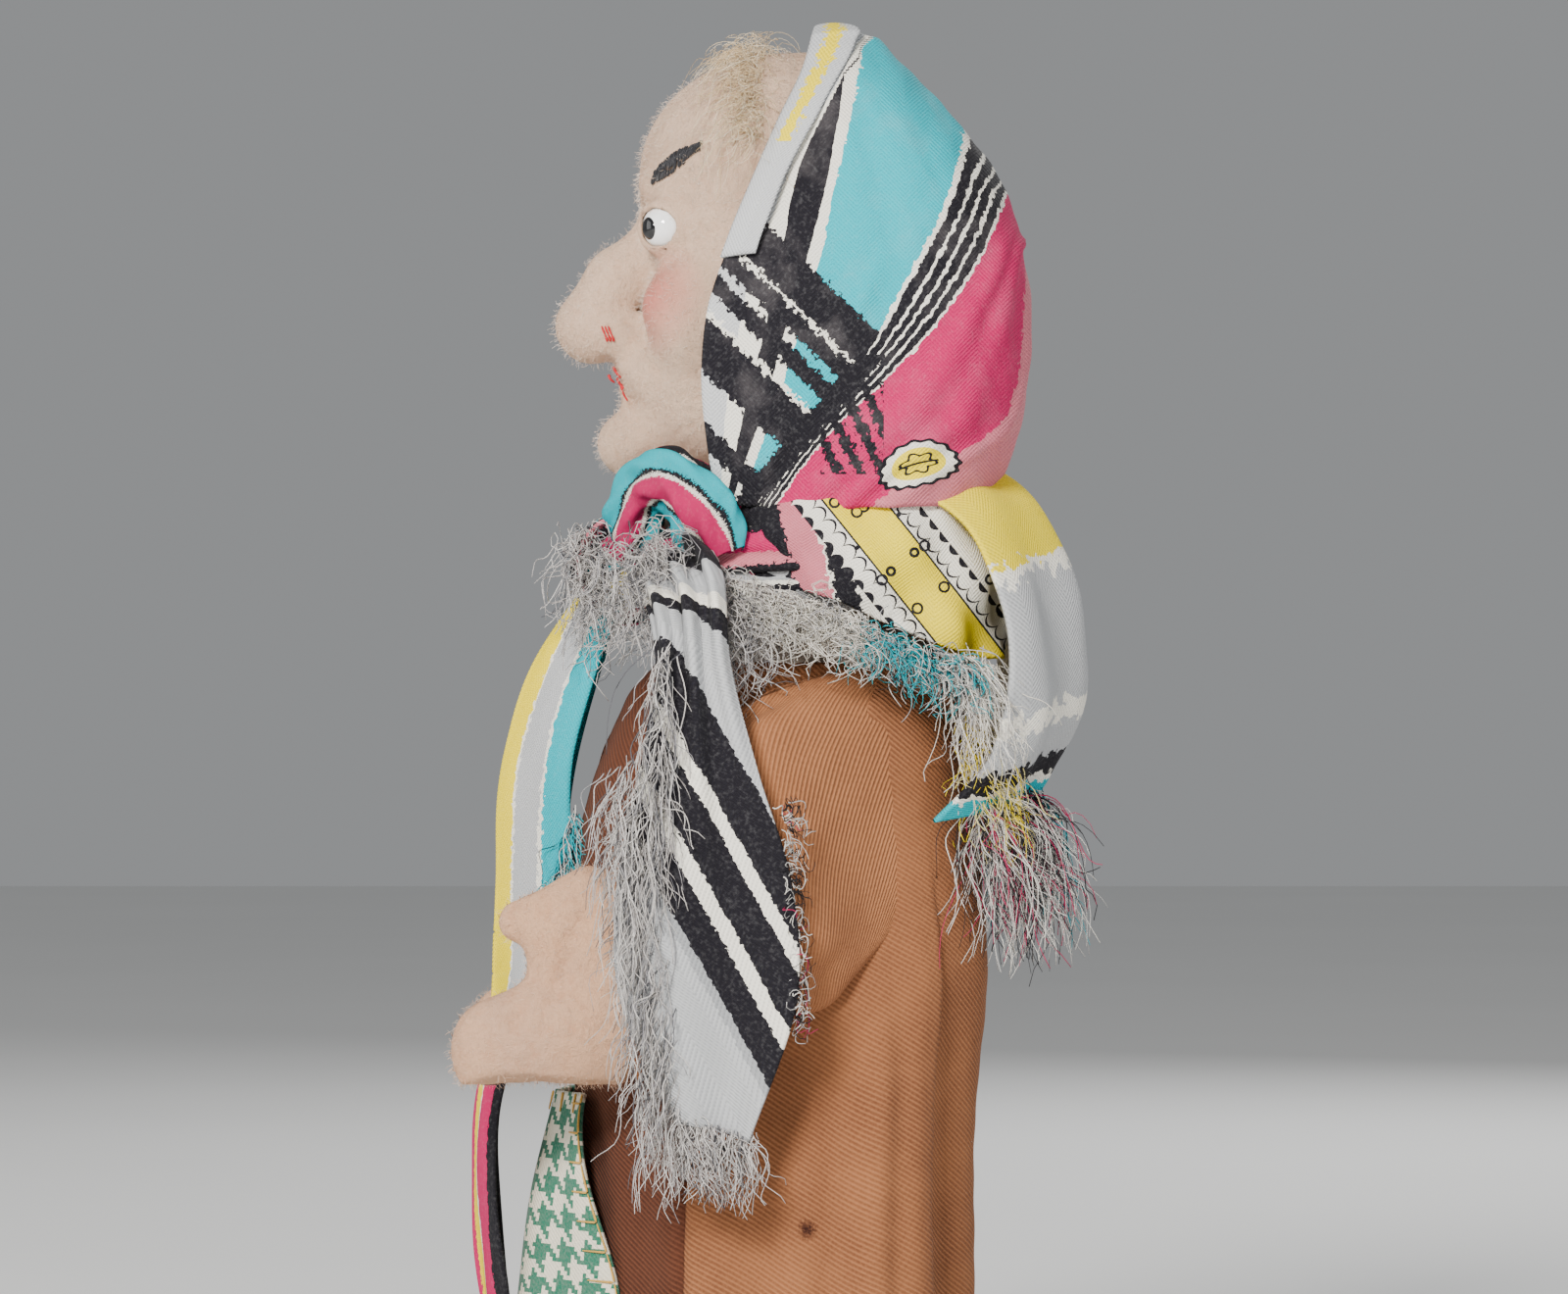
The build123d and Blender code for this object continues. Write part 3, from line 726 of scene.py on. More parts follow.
MOUTH = (((-35.6, 243.0), (-33.9, 240.4)), ((-34.8, 240.6), (-33.3, 238.2)),
         ((-33.9, 239.2), (-32.6, 235.6)), ((-36.6, 241.2), (-35.4, 239.6)))
NOSTRIL = tuple(((-36.2 + shift, 247.8), (-37.5 + shift, 251.2)) for shift in (-0.7, 0.0, 0.7))
bead_line("mouth_thread", [face_stitch(*ends, side, -0.35, 0.6) for side, label in SIDES
                           for ends in MOUTH], 0.75, thread_red, "head",
          "mouth_stitches")
bead_line("nostril_thread", [face_stitch(*ends, side, 0, 0.5) for side, label in SIDES
                             for ends in NOSTRIL], 0.72, thread_red, "head",
          "nostril_stitches")

# ---- hair ----------------------------------------------------------------------------------------
rng = np.random.default_rng(41)
strand_count = 820
across = rng.uniform(-1, 1, strand_count)
roots = []
for a in across:
    turn = a * 1.25
    roots.append(on_skin(head_field, 0, -2.0 + rng.uniform(-2, 3), 280,
                         (math.sin(turn), -0.18, math.cos(turn)), 60.0))
roots = np.array(roots)
ways = np.stack([across * 0.5 + rng.normal(0, 0.5, strand_count),
                 -0.6 + rng.normal(0, 0.55, strand_count),
                 0.25 + rng.normal(0, 0.5, strand_count)], -1)
hair_paths = loose_paths(rng, roots, ways, rng.uniform(6, 17, strand_count), 12, 0.5, 2.1, 1.5)
hair = threads("mohair_tuft", hair_paths, 0.075, rng.uniform(0, 1, strand_count))
mohair = thread_look("mohair", [(0.0, (0.62, 0.44, 0.24)), (0.35, (0.76, 0.60, 0.38)),
                                (0.75, (0.85, 0.74, 0.55))])
hair.data.materials.append(mohair)
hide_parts("hair_front")
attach(hair, "head")

# ---- headscarf: side outline and the print's guide lines, in (y, z) ------------------------------
EDGE = [(7.2, 313.6), (4.4, 303.0), (0.0, 293.4), (-6.2, 278.9), (-11.3, 266.6), (-15.5, 254.2),
        (-16.9, 241.8), (-16.0, 227.4), (-13.5, 213.2)]
BACK = [(20.0, 311.5), (26.0, 304.7), (33.5, 296.4), (38.6, 290.3), (43.8, 283.0), (47.6, 274.8),
        (50.0, 264.5), (51.0, 254.0), (50.6, 241.8), (49.5, 231.5), (46.5, 222.0), (42.0, 213.2)]
HALF = [(10.0, 313.0), (20.0, 305.0), (27.5, 296.4), (33.5, 283.0), (36.5, 270.0), (37.5, 255.0),
        (36.5, 240.0), (34.5, 226.0), (31.5, 213.2)]


def outline(points, z):
    return curve_through([p[1] for p in points], [p[0] for p in points], z)


HOOD_TOP, HOOD_LOW = 313.6, 213.2


def hood_place(v, u):
    """v runs from the top down, u from the left front edge round the back to the right one."""
    z = HOOD_TOP - (HOOD_TOP - HOOD_LOW) * (0.02 * v + 0.98 * v ** 1.25)
    edge, back, half = outline(EDGE, z), outline(BACK, z), outline(HALF, z)
    middle = edge * 0.28 + back * 0.72 - 8.0
    middle = np.minimum(middle, back - half * 0.55)
    front = np.maximum((middle - edge), 1.0)
    turn = (u - 0.5) * 2
    open_at = np.clip(0.5 + front / np.maximum(half, 6) * 0.42, 0.5, 0.93)
    angle = turn * open_at * math.pi
    shut = np.sqrt(np.clip((HOOD_TOP - z) / 2.2, 0, 1))
    x = half * np.abs(np.sin(np.clip(np.abs(angle), 0, math.pi / 2))) ** 0.9 * np.sign(-turn) * shut
    past = np.clip(np.abs(angle) - math.pi / 2, 0, None) / np.maximum(
        open_at * math.pi - math.pi / 2, 1e-3)
    x = x * (1 - 0.13 * past ** 2)
    y_back = middle + (back - middle) * np.cos(np.clip(np.abs(angle), 0, math.pi / 2)) ** 0.95
    y = np.where(past > 0, middle + (edge - middle) * past, y_back)
    y = middle + (y - middle) * shut
    points = np.stack([x, y, z], -1)
    outward = np.stack([x / np.maximum(half, 1), (y - middle) / 40.0, (z - 262) / 90.0], -1)
    outward /= np.linalg.norm(outward, axis=-1, keepdims=True)
    s, _ = guide_place(points[..., 1], points[..., 2])
    crease = 0.0
    for where, width, deep, start in ((4.62, 0.10, 0.7, 268), (5.75, 0.22, 0.9, 258),
                                      (6.35, 0.16, 1.4, 272), (6.70, 0.12, 1.2, 280),
                                      (7.10, 0.10, 0.9, 262)):
        crease = crease + deep * bump(s, where, width) * ramp(start - z, -6, 16)
    rumple = 0.5 * wander(5, y * 0.11, z * 0.05, x * 0.06) + 0.25 * wander(6, y * 0.33, z * 0.2)
    lift = crease + rumple * ramp(np.abs(turn), 1.0, 0.9)
    return points + outward * lift[..., None]


# The print's stripes fan out over the crown from the side of the neck. Each guide line is where
# a stripe starts, as (y, z) points from the crown down.
GUIDES = [
    EDGE,
    [(15.4, 309.8), (11.8, 301.3), (3.6, 287.0), (-2.1, 272.9), (-5.0, 266.0), (-9.0, 250.0),
     (-12.0, 232.0), (-13.0, 213.2)],
    [(12.3, 302.4), (3.1, 282.3), (-0.4, 265.3), (-3.6, 250.0), (-6.6, 238.0), (-10.4, 222.0),
     (-12.0, 213.2)],
    [(12.3, 302.4), (11.2, 291.8), (4.5, 262.5), (0.0, 248.0), (-3.0, 236.0), (-8.0, 222.0),
     (-11.0, 213.2)],
    [(15.9, 308.8), (14.5, 298.4), (10.2, 277.6), (6.4, 260.6), (2.5, 248.0), (-1.0, 236.0),
     (-6.0, 222.0), (-9.0, 213.2)],
    [(37.2, 291.8), (32.9, 274.8), (26.3, 261.5), (17.3, 245.4), (8.0, 233.0), (0.0, 222.0),
     (-6.0, 213.2)],
    [(46.2, 278.5), (41.4, 266.2), (33.9, 253.9), (20.6, 238.8), (10.0, 229.0), (2.0, 219.0),
     (-2.0, 213.2)],
    [(50.3, 267.0), (49.4, 253.9), (47.6, 237.8), (43.6, 229.3), (35.8, 224.0), (25.0, 218.5),
     (18.0, 213.2)],
    [(58.0, 267.0), (58.0, 240.0), (57.0, 213.2)],
]


def guide_place(y, z):
    """How many guide lines back from the front edge a point lies, and its height in mm."""
    rows = [outline(guide, z) + np.maximum(z - guide[0][1], 0) * 0.9 for guide in GUIDES]
    s = np.zeros(np.shape(y))
    for k, (line, following) in enumerate(zip(rows, rows[1:])):
        past = np.clip((y - line) / np.maximum(following - line, 0.8), 0, 1)
        s = np.where(y >= line, k + past, s)
    return s, z


def hood_print(v, u, points):
    s, t = guide_place(points[..., 1], points[..., 2])
    return s * 10.0, t


def paisley(look, colour, centre, radii, tilt):
    """A yellow drop with a scalloped pale rim, printed at centre (y, z)."""
    y, z = look.split(look.place())[1:3]
    y, z = y - centre[0], z - centre[1]
    c, s = math.cos(tilt), math.sin(tilt)
    a = y * (c / radii[0]) + z * (s / radii[0])
    b = z * (c / radii[1]) - y * (s / radii[1])
    b = b + a * a * 0.25
    gap = (a * a + b * b).sqrt()
    rim = gap + (b.angle(a) * 15.0).sin() * 0.05
    petals = gap + (b.angle(a) * 6.0).sin() * 0.09
    for where, tint in ((rim < 1.22, INK), (rim < 1.08, CREAM), (gap < 0.80, YELLOW),
                        (abs(petals - 0.46) < 0.05, INK), ((abs(b) < 0.05) * (gap < 0.6), INK)):
        colour = look.mix(where, colour, tint)
    return colour


look = Look("kerchief_hood")
place = look.place()
y, z = look.split(place)[1:3]
s = look.split(look.print_place())[0] + look.jitter(place, 0.55, 0.35)
ragged = look.jitter(place, 0.9, 0.9)
colour = look.banded(s, 0.0, 80.0, [
    (0, GREY_OLD), (10, CREAM), (20, INK), (30, CREAM), (40, TEAL), (50, CREAM), (50.8, INK),
    (52.7, CREAM), (53.2, INK), (54.9, CREAM), (55.4, INK), (57.1, CREAM), (57.6, INK),
    (59.2, CREAM), (60, MAGENTA), (70, PINK)])
rise = y * 0.68 + z * 0.70 + ragged
low = (s < 50.5) * (z < 274.0)
black_bars = look.banded(rise, 130.0, 200.0, [
    (130, NONE), (146, FULL), (150, NONE), (157, FULL), (165.5, NONE), (169.5, FULL),
    (173, NONE), (174.6, FULL), (178.6, NONE), (179.4, FULL), (187, NONE)])
white_bars = look.banded(rise, 130.0, 200.0, [
    (130, NONE), (165.5, FULL), (166.4, NONE), (178.6, FULL), (179.4, NONE)])
dive = y * 0.757 + z * -0.653 + ragged
steep = ((y * 0.9 + z * 0.42 + ragged) * 1.55).sin()
patch = y.near(14.0, 6.5) * z.near(229.0, 9.5)
for where, tint in ((black_bars * low, INK), (white_bars * low, CREAM),
                    (dive.near(-145.5, 2.3) * (z < 244.0), INK), ((steep > -0.1) * patch, INK)):
    colour = look.mix(where, colour, tint)
colour = look.shade(colour, (0.55, 0.50, 0.50), look.noise(place, 0.09, 4.0), 0.5, 0.8, 0.12)
colour = paisley(look, colour, (27.6, 221.8), (7.2, 3.9), 0.25)
hood = sheet_grid("kerchief_hood", 130, 220, hood_place, hood_print, thickness=1.1)
hood.data.materials.append(kerchief_cloth(look, colour, look.join(y, z)))
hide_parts("scarf_hood")
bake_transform(hood)


def follow(piece, body):
    """Rides on a body given by name; for a (body, body, start, end) tuple in mm it only fixes the
    piece's place into its mesh.
    """
    if isinstance(body, str):
        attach(piece, body)
    else:
        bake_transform(piece)


def cloth_piece(name, material, slot, body, *nodes, flat, held, rests_on=(), **grid):
    """One sheet with its material, its body and the CAD nodes that it stands for."""
    piece = sheet_grid(name, **grid)
    piece.data.materials.append(material)
    follow(piece, body)
    if nodes:
        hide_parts(*nodes)
    return piece


def along(points, at):
    """Points of a smooth line through given (x, y, z) points, read from 0 to 1."""
    stations = np.linspace(0, 1, len(points))
    return np.stack([curve_through(stations, [p[k] for p in points], at) for k in range(3)], -1)


def strip(left, right, fold):
    """place() of a cloth strip between two edges; fold(v, u) lifts it off its plane, in mm."""
    def place(v, u):
        start, end = along(left, v), along(right, v)
        flat = start + (end - start) * u[..., None]
        normal = np.cross(np.gradient(flat, axis=1), np.gradient(flat, axis=0))
        normal /= np.maximum(np.linalg.norm(normal, axis=-1, keepdims=True), 1e-9)
        return flat + normal * fold(v, u)[..., None]
    return place


def tube(path, radii, ripple=None):
    """place() of a roll of cloth along a path; radii is (up, out) at even steps along it."""
    def place(v, u):
        middle = along(path, v)
        run = np.gradient(middle, axis=0)
        run /= np.maximum(np.linalg.norm(run, axis=-1, keepdims=True), 1e-9)
        out = np.cross(run, UP)
        out /= np.maximum(np.linalg.norm(out, axis=-1, keepdims=True), 1e-9)
        up = np.cross(out, run)
        sizes = along([(a, b, 0) for a, b in radii], v)
        a = 2 * math.pi * u
        swell = 1 + (ripple(v, u) if ripple else 0)
        return (middle + up * (sizes[..., 0] * np.cos(a) * swell)[..., None]
                + out * (sizes[..., 1] * np.sin(a) * swell)[..., None])
    return place


# the folded-back front edge of the kerchief
FOLD_LOW = 264.0


def fold_place(v, u):
    a = (v - 0.5) * 2
    z = HOOD_TOP - (HOOD_TOP - FOLD_LOW) * np.abs(a) ** 2.1
    shut = np.sqrt(np.clip((HOOD_TOP - z) / 2.6, 0, 1))
    half = outline(HALF, z) * shut * (0.88 + 0.08 * u)
    puff = 1.5 * np.sin(math.pi * np.clip(u, 0, 1)) ** 0.6 * (0.8 + 0.3 * wander(71, a * 9.0)) + 0.9
    puff = puff * (0.35 + 0.65 * ramp(z, FOLD_LOW, FOLD_LOW + 10))
    front = outline(EDGE, z) - 0.6
    back = outline(GUIDES[1], z) + np.maximum(z - 309.8, 0) * 0.6 + 0.7 * wander(72, a * 7.0)
    x = np.sign(a) * (half + puff * shut * 0.9)
    y = front + (back - front) * u * (0.6 + 0.4 * shut)
    return np.stack([x, y, z + puff * 0.5 * (1 - 0.4 * shut) + 0.8 * u * shut], -1)


look = Look("kerchief_fold")
s, t, _ = look.split(look.print_place())
s = s + look.jitter(look.place(), 0.8, 1.3)
streak = s.near(4.3, 1.6) * (t > 288.0)
cloth_piece("kerchief_fold", kerchief_cloth(look, look.mix(streak, GREY_OLD, YELLOW)),
            "scarf_cloth", "head", "scarf_front_fold",
            rows=150, columns=18, place=fold_place, thickness=1.0, flat=(0.120, 0.011),
            held="folded", rests_on=[hood],
            pattern=lambda v, u, p: (u * 9.0, p[..., 2]))


# ---- neck of the kerchief: rolls of gathered cloth from the back of the neck to the knot ---------
def neck_loop(front, side, back):
    """A loop round the neck through (y, z, x) heights at the front, side and back."""
    (yf, zf, xf), (ys, zs, xs), (yb, zb, xb) = front, side, back
    half = [(xf, yf, zf), (xs * 0.62, yf * 0.72 + ys * 0.28, zf * 0.6 + zs * 0.4),
            (xs * 0.93, yf * 0.35 + ys * 0.65 - 2, zf * 0.2 + zs * 0.8), (xs, ys + 6, zs),
            (xs * 0.86, yb * 0.75, zs * 0.5 + zb * 0.5), (xb + 12, yb * 0.96, zb), (0, yb, zb)]
    return half + [(-x, y, z) for x, y, z in half[-2::-1]]


WRAP_ROLLS = (                   # name, nodes, path, size up and out, flat size, bands, seed
    ("front", [], [(4, -31, 203), (11, -31.5, 211), (18, -28, 218.5), (24.5, -21.5, 218),
                   (29, -15.5, 210), (32, -12, 202)], 7.0, 5.6, (0.064, 0.0262),
     [(0, MAGENTA), (4, CREAM), (5.5, INK), (7, TEAL), (14, TEAL), (17, CREAM), (18.5, INK),
      (23, MAGENTA)], 81),
    ("front_right", [], [(-4, -31, 203), (-11, -31.5, 210), (-18, -28, 216.5),
                         (-24.5, -21.5, 216), (-29, -15.5, 208), (-32, -12, 201)],
     7.0, 5.4, (0.060, 0.0258),
     [(0, GREY), (4, CREAM), (5.5, INK), (9, MAGENTA), (17, CREAM), (18.5, TEAL)], 82),
    ("middle", ["scarf_neck_wrap"],
     neck_loop((-30.0, 203.5, 5), (0, 204.0, 29.5), (36, 205.0, 0)), 5.2, 4.2, (0.205, 0.0207),
     [(0, INK), (6, PINK), (10, MAGENTA), (17, INK), (20, CREAM), (22, INK), (26, TEAL)], 83),
    ("low", [], neck_loop((-29.0, 197.0, 5), (0, 196.5, 28.5), (34.5, 197.0, 0)), 4.6, 4.4,
     (0.196, 0.0200),
     [(0, GREY), (8, INK), (11, CREAM), (13, GREY), (20, MAGENTA), (25, INK)], 85),
)
ROLL_ENDS = [(0.65, 0.65), (0.95, 0.9), (1.1, 1.0), (1.0, 1.0), (0.9, 0.9), (0.9, 1.0)]
for part, nodes, path, up, out, flat, bands, seed in WRAP_ROLLS:
    def ripple(v, u, seed=seed):
        a = 2 * math.pi * u
        return (0.13 * np.sin(5 * a + 9 * v + seed) + 0.08 * np.sin(8 * a - 17 * v)
                + 0.10 * wander(seed, 9 * v, np.cos(a) * 1.5, np.sin(a) * 1.5))

    name = f"kerchief_roll_{part}"
    sizes = [(up * a, out * b) for a, b in ROLL_ENDS + ROLL_ENDS[::-1]]
    cloth_piece(name, stripes_look(name, bands, 30.0, 0.8), "scarf_cloth", "neckline", *nodes,
                flat=flat, held="gathered", rests_on=["neck_tube"], rows=260, columns=56,
                closed=True, place=tube(path, sizes, ripple), thickness=0,
                pattern=lambda v, u, p: (30 * np.abs(2 * ((u + 0.35 * v) % 1) - 1), v * 190))

# the collar that the kerchief's folds make under the hood
def collar_place(v, u):
    turn = 2 * math.pi * (0.085 + 0.83 * u)
    back = 0.5 - 0.5 * np.cos(turn)
    low = 196.5 - 15.0 * ramp(back, 0.30, 1.0)
    z = 217.5 + (low - 217.5) * v
    swell = np.sin(math.pi * v ** 0.8) * 2.6
    fold = (1.2 * np.sin(turn * 9 + 7 * v) + 0.8 * np.sin(turn * 15 - 9 * v)) * (0.3 + 0.7 * v)
    fold = fold + 0.9 * wander(87, turn * 2, v * 3)
    half = 30.2 + 5.0 * v + swell + fold
    middle, deep = 11.0, 31.5 + 3.0 * v + swell + fold
    return np.stack([half * np.sin(turn), middle - deep * np.cos(turn), z], -1)


look = Look("kerchief_collar")
y, z = look.split(look.place())[1:3]
colour = look.banded(y * 1.0 + z * 0.22 + look.jitter(look.place(), 0.8, 0.8), 0.0, 100.0, [
    (0, GREY), (12, MAGENTA), (21, CREAM), (23, TEAL), (28, CREAM), (30, MAGENTA), (37.5, INK),
    (45.5, PINK), (52.5, CREAM), (53.3, INK), (58, CREAM)])
across = abs(y * 0.78 + z * 0.625 - 145.0)       # distance from the yellow stripe's middle
length = y * 0.625 + z * -0.78                   # and the way along it
rim = across + abs((length * 0.95).sin()) ** 0.55 * 1.9
cells = look.node("ShaderNodeTexVoronoi", {"Vector": look.join(length, across), "Scale": 0.21,
                                           "Randomness": 0.75}, feature="F1")
for where, tint in ((across < 10.2, INK), (rim < 10.9, CREAM), (rim < 8.0, INK), (rim < 7.5, CREAM),
                    (across < 5.2, INK), (across < 4.8, YELLOW), (abs(cells - 0.22) < 0.05, INK)):
    colour = look.mix(where, colour, tint)
collar = cloth_piece("kerchief_collar", kerchief_cloth(look, colour), "scarf_cloth", "neckline",
                     rows=60, columns=220, place=collar_place, thickness=1.0,
                     flat=(0.190, 0.029), held="gathered", rests_on=["neck_tube"],
                     pattern=lambda v, u, p: (u * 190.0, v * 32.0))

# ---- the knot ------------------------------------------------------------------------------------
def knot_place(v, u):
    a, b = 2 * math.pi * u, math.pi * v
    fold = 1 + 0.10 * np.sin(7 * b + 2.2 * np.sin(a)) + 0.06 * wander(91, np.cos(a) * 2, 3 * v)
    return np.stack([12.0 * np.cos(b) * fold, -33.0 - 8.2 * np.sin(b) * np.cos(a) * fold,
                     200.5 + 8.4 * np.sin(b) * np.sin(a) * fold], -1)


knot_look = stripes_look("kerchief_knot", [(0, GREY), (8, MAGENTA), (13, CREAM), (15, TEAL),
                                           (22, INK), (27, CREAM), (29, YELLOW)], 34.0, 1.2)
knot = cloth_piece("kerchief_knot", knot_look, "scarf_cloth", "neckline", "scarf_knot", rows=90,
                   columns=90, closed=True, place=knot_place, thickness=0, flat=(0.040, 0.0214),
                   held="folded", rests_on=["kerchief_roll_middle"],
                   pattern=lambda v, u, p: (34 * np.abs(2 * ((u + 0.2) % 1) - 1), v * 40))

band_look = stripes_look("kerchief_band", [(0, MAGENTA), (4, CREAM), (5.5, TEAL), (10, CREAM),
                                           (11.2, INK), (15, PINK)], 17.0, 0.6)
band_path = [(3 * math.sin(k), -33 - 9.8 * math.cos(k), 200.5 + 10.0 * math.sin(k))
             for k in np.linspace(-2.2, 2.6, 9)]
cloth_piece("kerchief_band", band_look, "scarf_cloth", "neckline", rows=90, columns=34,
            flat=(0.066, 0.017), held="folded", rests_on=[knot],
            place=strip([(x - 7.5, y, z) for x, y, z in band_path],
                        [(x + 7.5, y, z) for x, y, z in band_path],
                        lambda v, u: 1.0 * np.sin(u * 19 + 2 * v) + 0.7 * np.sin(u * 31 - 3 * v)),
            pattern=lambda v, u, p: (u * 17.0, v * 45), thickness=0.9)

# ---- hanging ends of the kerchief ----------------------------------------------------------------
TAIL_FRONT = [(9, -33, 199), (30, -31, 198), (48, -27.5, 190), (55, -26, 177), (57, -30, 156),
              (57.5, -34, 134), (57, -33, 112), (56.5, -22, 88)]
TAIL_BACK = [(9, -24, 204), (30, -18, 206), (48, -13, 199), (55, -11, 180), (57.5, -5, 158),
             (58, 1.5, 136), (58, 2.5, 112), (57, -7, 84)]


def tail_fold(v, u):
    loose = ramp(v, 0.25, 0.8)
    return ((1 - loose) * (1.5 * np.sin(u * 18 + v * 4) + 0.8 * np.sin(u * 33))
            + loose * (1.5 * np.sin(u * 7.5 + 2.5 * v + 0.6) + 0.5 * wander(101, v * 6, u * 4)))


def tail_print(v, u, points):
    slant = 0.87 * points[..., 1] + 0.49 * points[..., 2]
    return slant - 10.0 + 25 * (1 - ramp(v, 0.1, 0.4)), v * 130


tail_look = stripes_look("kerchief_left_end", [
    (0, GREY), (32, (0.30, 0.31, 0.32)), (34, INK), (40, CREAM), (43, INK), (50, CREAM),
    (53, INK), (61, GREY), (70, INK), (74, CREAM), (77, GREY), (86, INK)], 90.0, 0.4)
cloth_piece("kerchief_left_end", tail_look, "scarf_cloth",
            ("neckline", "left_scarf_end", (32, -24, 200), (54, -20, 182)), "left_tail",
            rows=150, columns=60, place=strip(TAIL_FRONT, TAIL_BACK, tail_fold),
            flat=(0.142, 0.032), held="draped", rests_on=[knot], pattern=tail_print,
            thickness=0.9)

APEX = [(-38, 203), (-47, 190), (-53.5, 178), (-58.5, 163), (-61, 134), (-62, 110), (-65, 80),
        (-64, 50), (-62, 38)]
INNER = [(-31, 200), (-35, 190), (-39, 178), (-43, 163), (-45, 141), (-47, 118), (-58.5, 92),
         (-58.5, 50), (-58, 38)]


def front_place(v, u):
    z = 203 - 165 * v
    apex, inner = outline(APEX, z), outline(INNER, z)
    peak = (1 - np.abs(2 * u - 1)) ** 0.8
    x = 9.0 * (1 - 2 * u) * (0.75 + 0.25 * np.sin(v * 9)) + 1.3 * np.sin(v * 17 + u * 8)
    y = inner + (apex - inner) * peak + 0.8 * wander(111, v * 14, u * 5)
    return np.stack([x, y, z], -1)


look = Look("kerchief_front_end")
s, t, _ = look.split(look.print_place())
s = (s + look.jitter(look.print_place(), 0.7, 0.9)) / 30.0
upper = look.colours(s, [(0.0, TEAL), (0.30, CREAM), (0.34, GREY), (0.66, CREAM), (0.69, YELLOW)])
lower = look.colours(s, [(0.0, INK), (0.25, MAGENTA), (0.60, CREAM), (0.66, YELLOW),
                         (0.90, MAGENTA)])
colour = look.mix(t.near(106.0, 5.0), look.mix(t > 103.0, upper, lower), INK)
cloth_piece("kerchief_front_end", kerchief_cloth(look, colour), "scarf_cloth",
            ("neckline", "front_scarf_end", (0, -36, 201), (0, -47, 187)), "front_tail",
            rows=190, columns=60, place=front_place, flat=(0.165, 0.028), held="hung",
            rests_on=[knot], thickness=0.9,
            pattern=lambda v, u, p: (30 * (1 - np.abs(2 * u - 1)), v * 165))

DRAPE = [(36, 219), (44, 220), (52, 214), (57.5, 203), (60.5, 190), (61.5, 177), (59, 166),
         (55, 158), (52, 153)]


def drape_place(v, u):
    line = along([(0, y, z) for y, z in DRAPE], v)
    a = (u - 0.5) * 2
    sag = ramp(v, 0.1, 0.5)
    x = a * (25 + 7 * np.sin(v * 2.6)) + 0.6 * wander(121, v * 5, a * 2)
    y = line[..., 1] - np.abs(a) ** 2.1 * (13 + 7 * v) + 2.0 * sag * np.sin(a * 7 + 3 * v)
    y = y + 1.0 * sag * wander(123, a * 3, v * 5)
    z = line[..., 2] - 5 * np.abs(a) ** 2 + 1.1 * np.sin(a * 9 + 1) * (1 - sag)
    return np.stack([x, y, z], -1)


look = Look("kerchief_back_corner")
t = look.split(look.print_place())[1] + look.jitter(look.place(), 0.35, 2.0)
colour = look.colours(t / 80.0, [
    (0.0, PINK), (0.08, CREAM), (0.11, YELLOW), (0.36, CREAM), (0.39, GREY), (0.66, CREAM),
    (0.70, GREY), (0.80, INK), (0.88, CREAM), (0.91, TEAL)])
cloth_piece("kerchief_back_corner", kerchief_cloth(look, colour), "scarf_cloth",
            ("neckline", "back_scarf_corner", (0, 42, 217), (0, 55, 202)), "back_drape",
            rows=110, columns=90, place=drape_place, flat=(0.090, 0.066), held="draped",
            rests_on=[collar], pattern=lambda v, u, p: (u * 64, v * 80), thickness=0.9)

# ---- fringes -------------------------------------------------------------------------------------
fringe_grey = thread_look("fringe_grey", [(0.0, (0.50, 0.47, 0.45)), (0.45, (0.66, 0.63, 0.60)),
                                          (0.72, (0.34, 0.33, 0.34)), (0.88, (0.10, 0.10, 0.11))])
fringe_pale = thread_look("fringe_pale", [(0.0, (0.74, 0.70, 0.62)), (0.50, (0.87, 0.84, 0.76)),
                                          (0.90, (0.45, 0.44, 0.44))])
fringe_teal = thread_look("fringe_teal", [(0.0, TEAL), (0.45, (0.75, 0.74, 0.69)),
                                          (0.70, (0.40, 0.40, 0.41)), (0.86, INK)])
fringe_yellow = thread_look("fringe_yellow", [(0.0, YELLOW), (0.4, (0.80, 0.70, 0.30)),
                                              (0.70, (0.6, 0.58, 0.55)), (0.88, INK)])
fringe_dark = thread_look("fringe_dark", [(0.0, INK), (0.4, (0.55, 0.54, 0.52)),
                                          (0.65, (0.80, 0.78, 0.72)), (0.85, MAGENTA)])


def fringe(part, look, body, seed, count, start, end, way, reach, nodes=(), spread=0.35,
           curl=1.7, waves=1.3, jitter=0.8):
    """Frayed threads along a line from start to end, leaving it along way."""
    rng = np.random.default_rng(seed)
    t = rng.uniform(0, 1, (count, 1))
    roots = np.array(start) * (1 - t) + np.array(end) * t + rng.normal(0, jitter, (count, 3))
    ways = np.array(way, float) + rng.normal(0, spread, (count, 3))
    lengths = rng.uniform(0.45, 1.0, count) * reach
    paths = loose_paths(rng, roots, ways, lengths, 14, 0.55, curl, waves)
    radius = rng.uniform(0.6, 1.15, count) * FRINGE_RADIUS
    piece = threads(f"fringe_{part}", paths, radius, rng.uniform(0, 0.99, count))
    piece.data.materials.append(look)
    if nodes:
        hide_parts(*nodes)
    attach(piece, body)


FRINGE_RADIUS = 0.17

